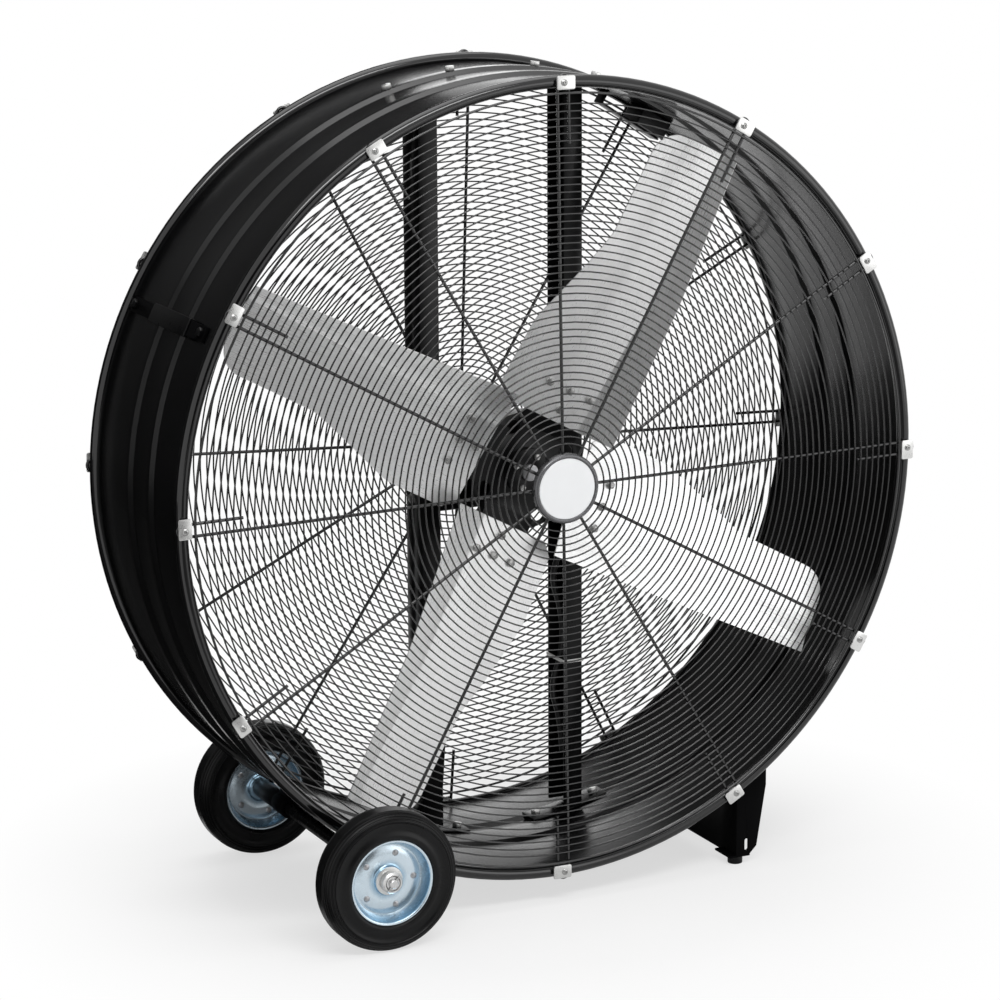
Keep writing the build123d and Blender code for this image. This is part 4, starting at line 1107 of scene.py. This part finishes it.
    def rivets(self, sizes, middle):
        """Rivet heads on both faces of a disc."""
        seat, spot = sizes.flat + self.RIVET_SEAT, middle + Vector((sizes.rivet_circle, 0, 0))
        bm = both_faces([(radius, seat + high) for radius, high in self.RIVET], spot, self.RIVET_STEPS)
        repeat_round(bm, sizes.rivets, middle)
        return bm

    def axle(self):
        """Rod with a turned-down end and a split pin through each end."""
        middle, radius, end = axis_of("axle"), radius_of("axle"), span("axle", Y)[1]
        shoulder = end - self.END_LENGTH
        half = [(0.0, end), (self.END_RADIUS - self.END_EDGE, end), (self.END_RADIUS, end - self.END_EDGE),
                (self.END_RADIUS, shoulder), (radius - self.AXLE_EDGE[0], shoulder),
                (radius, shoulder - self.AXLE_EDGE[1])]
        bm = turned_piece(both_sides(half), middle, self.AXLE_STEPS)
        for side in (-1, 1):
            spot = Matrix.Translation(middle + Vector((0, side * (end - self.PIN_IN), 0)))
            bmesh.ops.create_cone(
                bm, cap_ends=True, segments=self.PIN_SIDES, radius1=self.PIN_RADIUS, radius2=self.PIN_RADIUS,
                depth=self.PIN_LENGTH, matrix=spot @ Matrix.Rotation(self.PIN_TURN, 4, "Y"),
            )
        return bm

    def caps(self, sizes):
        """Round caps with a hollow end round the axle."""
        seat, end = span("axle_washers", Y)[1], span("axle_nuts", Y)[1]
        rim, hole = sizes.cap, self.CAP_HOLE
        half = [(hole, seat), (rim - self.CAP_FOOT[0], seat), (rim, seat + self.CAP_FOOT[1]),
                (rim, end - self.CAP_RIM[1]), (rim - self.CAP_RIM[0], end), (hole + self.CAP_MOUTH[0], end),
                (hole, end - self.CAP_MOUTH[1])]
        return both_faces(half, axis_of("axle_nuts"), self.CAP_STEPS)


class DRUMFAN_OT_foot(bpy.types.Operator):
    """Foot bracket with its rubber feet"""

    bl_idname = "drum_fan.foot"
    bl_label = "Foot"

    def execute(self, context):
        dressed("foot_bracket", bracket_black(), 0.0009)
        dressed("foot_bracket_bolts", steel(), 0.0008)
        dressed("rubber_feet", rubber(), 0.0012)
        return {"FINISHED"}


# ---- stage ----
def aimed(made, place, aim, roll=0.0):
    """Put a camera or a lamp somewhere and point it at something."""
    made.location = place
    made.rotation_mode = "QUATERNION"
    sight = (Vector(aim) - Vector(place)).to_track_quat("-Z", "Y")
    made.rotation_quaternion = sight @ Quaternion((0, 0, 1), roll)


class DRUMFAN_OT_stage(bpy.types.Operator):
    """Camera, floor, world and soft lights"""

    bl_idname = "drum_fan.stage"
    bl_label = "Stage"

    LIT_POINT = (0, 0, 0.6)
    SENSOR = 36.0
    WHITE = (1, 1, 1, 1)
    MATT_WHITE = (0.96, 0.96, 0.96, 1)
    # Name, place, width and height, power
    LIGHTS = (
        ("top_front_softbox", (-0.5, -2.4, 3.4), (3.0, 0.8), 64.0),
        ("right_softbox", (2.3, -2.7, 0.95), (2.4, 1.7), 17.0),
        ("top_softbox", (0.1, 0.3, 3.8), (2.6, 2.6), 40.0),
        ("rear_softbox", (0.6, 4.6, 1.6), (3.2, 2.4), 34.0),
    )
    # Name, tone, corners
    CARDS = (
        ("camera_side_card", 0.004,
         ((-3.2, -5.6, 0.0), (0.8, -5.6, 0.0), (0.8, -5.6, 3.2), (-3.2, -5.6, 3.2))),
        ("left_back_card", 0.004,
         ((-5.0, 1.2, 0.0), (0.8, 2.7, 0.0), (0.8, 2.7, 3.8), (-5.0, 1.2, 3.8))),
        ("front_floor_card", 0.24,
         ((-1.4, -4.8, 0.01), (0.5, -4.8, 0.01), (0.5, -0.75, 0.01), (-1.4, -1.45, 0.01))),
        ("left_floor_card", 0.004,
         ((-5.0, -1.2, 0.01), (-0.42, -0.3, 0.01), (-0.3, 2.6, 0.01), (-5.0, 1.2, 0.01))),
    )

    def execute(self, context):
        sizes = context.scene.drum_fan_stage
        self.camera(context, sizes)
        self.floor(sizes)
        self.world(context, sizes)
        for light in self.LIGHTS:
            self.lamp(*light)
        for card in self.CARDS:
            self.card(*card)
        context.scene.view_settings.view_transform = "Standard"
        return {"FINISHED"}

    def camera(self, context, sizes):
        data = bpy.data.cameras.new("product_camera")
        data.sensor_width = self.SENSOR
        data.lens = sizes.lens
        data.clip_end = 200.0
        camera = placed("product_camera", data)
        aimed(camera, sizes.camera, sizes.aim, sizes.roll)
        context.scene.camera = camera

    def floor(self, sizes):
        """Plane that takes the shadow near the object and is plain background further out."""
        bm = bmesh.new()
        bmesh.ops.create_grid(bm, x_segments=1, y_segments=1, size=sizes.floor)
        finish = Finish("floor_white")
        here = finish.node("ShaderNodeTexCoord", output="Object")
        distance = finish.node("ShaderNodeVectorMath", {"operation": "LENGTH"}, output="Value", Vector=here)
        far = finish.ramp(distance, 0.0, 1.0, sizes.shadow_start, sizes.shadow_end)
        lifted = far * sizes.shadow + (1.0 - sizes.shadow)
        seen, glossy, through = finish.rays()
        plain = finish.node("ShaderNodeEmission", Color=self.WHITE, Strength=1.0)
        matt = finish.node("ShaderNodeBsdfDiffuse", Color=self.MATT_WHITE)
        finish.show("Material Output", finish.mixed(lifted * seen + far * (glossy + through), matt, plain))
        finish.tree.nodes.remove(finish.shader)
        floor = placed("floor", mesh_of("floor", bm), finish.material)

    def world(self, context, sizes):
        """White to the camera and in reflections, and a soft even light on the object."""
        world = bpy.data.worlds.new("white_room")
        world.use_nodes = True
        context.scene.world = world
        nodes = Nodes(world.node_tree)
        nodes.tree.nodes.remove(nodes.tree.nodes["Background"])
        seen, glossy, through = nodes.rays()
        white = nodes.node("ShaderNodeBackground", Color=self.WHITE)
        soft = nodes.node("ShaderNodeBackground", Color=self.WHITE, Strength=sizes.ambient)
        nodes.show("World Output", nodes.mixed(seen + glossy + through, soft, white))

    @staticmethod
    def card(name, tone, points):
        """Card beside the object, seen in reflections alone."""
        bm = bmesh.new()
        bm.faces.new([bm.verts.new(point) for point in points])
        face = finish_once(f"{name}_face", moulded_plastic, (tone, tone, tone))
        card = placed(name, mesh_of(name, bm), face)
        card.visible_camera = card.visible_diffuse = card.visible_transmission = card.visible_shadow = False

    def lamp(self, name, place, size, power):
        data = bpy.data.lights.new(name, "AREA")
        data.shape = "RECTANGLE"
        data.size, data.size_y = size
        data.energy = power
        lamp = placed(name, data)
        lamp.visible_camera = False
        aimed(lamp, place, self.LIT_POINT)


PIECES = (
    DRUMFAN_OT_drum, DRUMFAN_OT_front_guard, DRUMFAN_OT_rear_guard, DRUMFAN_OT_clips, DRUMFAN_OT_badge,
    DRUMFAN_OT_rotor, DRUMFAN_OT_motor, DRUMFAN_OT_cable, DRUMFAN_OT_box_and_handle, DRUMFAN_OT_wheels,
    DRUMFAN_OT_foot, DRUMFAN_OT_stage,
)


class DRUMFAN_PT_panel(bpy.types.Panel):
    """The drum fan's sizes and the buttons that build it"""

    bl_idname = "DRUMFAN_PT_panel"
    bl_label = "Drum fan"
    bl_space_type = "VIEW_3D"
    bl_region_type = "UI"
    bl_category = "Drum fan"

    def draw(self, context):
        for name, group in SETTINGS.items():
            column = self.layout.box().column(align=True)
            column.label(text=group.__doc__)
            for prop in group.__annotations__:
                column.prop(getattr(context.scene, name), prop)
        for piece in PIECES:
            self.layout.operator(piece.bl_idname)


CLASSES = (*SETTINGS.values(), *PIECES, DRUMFAN_PT_panel)


def register():
    for item in CLASSES:
        bpy.utils.register_class(item)
    for name, group in SETTINGS.items():
        setattr(bpy.types.Scene, name, bpy.props.PointerProperty(type=group))


def unregister():
    for name in SETTINGS:
        delattr(bpy.types.Scene, name)
    for item in reversed(CLASSES):
        bpy.utils.unregister_class(item)


def main():
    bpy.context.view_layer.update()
    register()
    for piece in PIECES:
        group, name = piece.bl_idname.split(".")
        getattr(getattr(bpy.ops, group), name)()


if __name__ == "__main__":
    main()
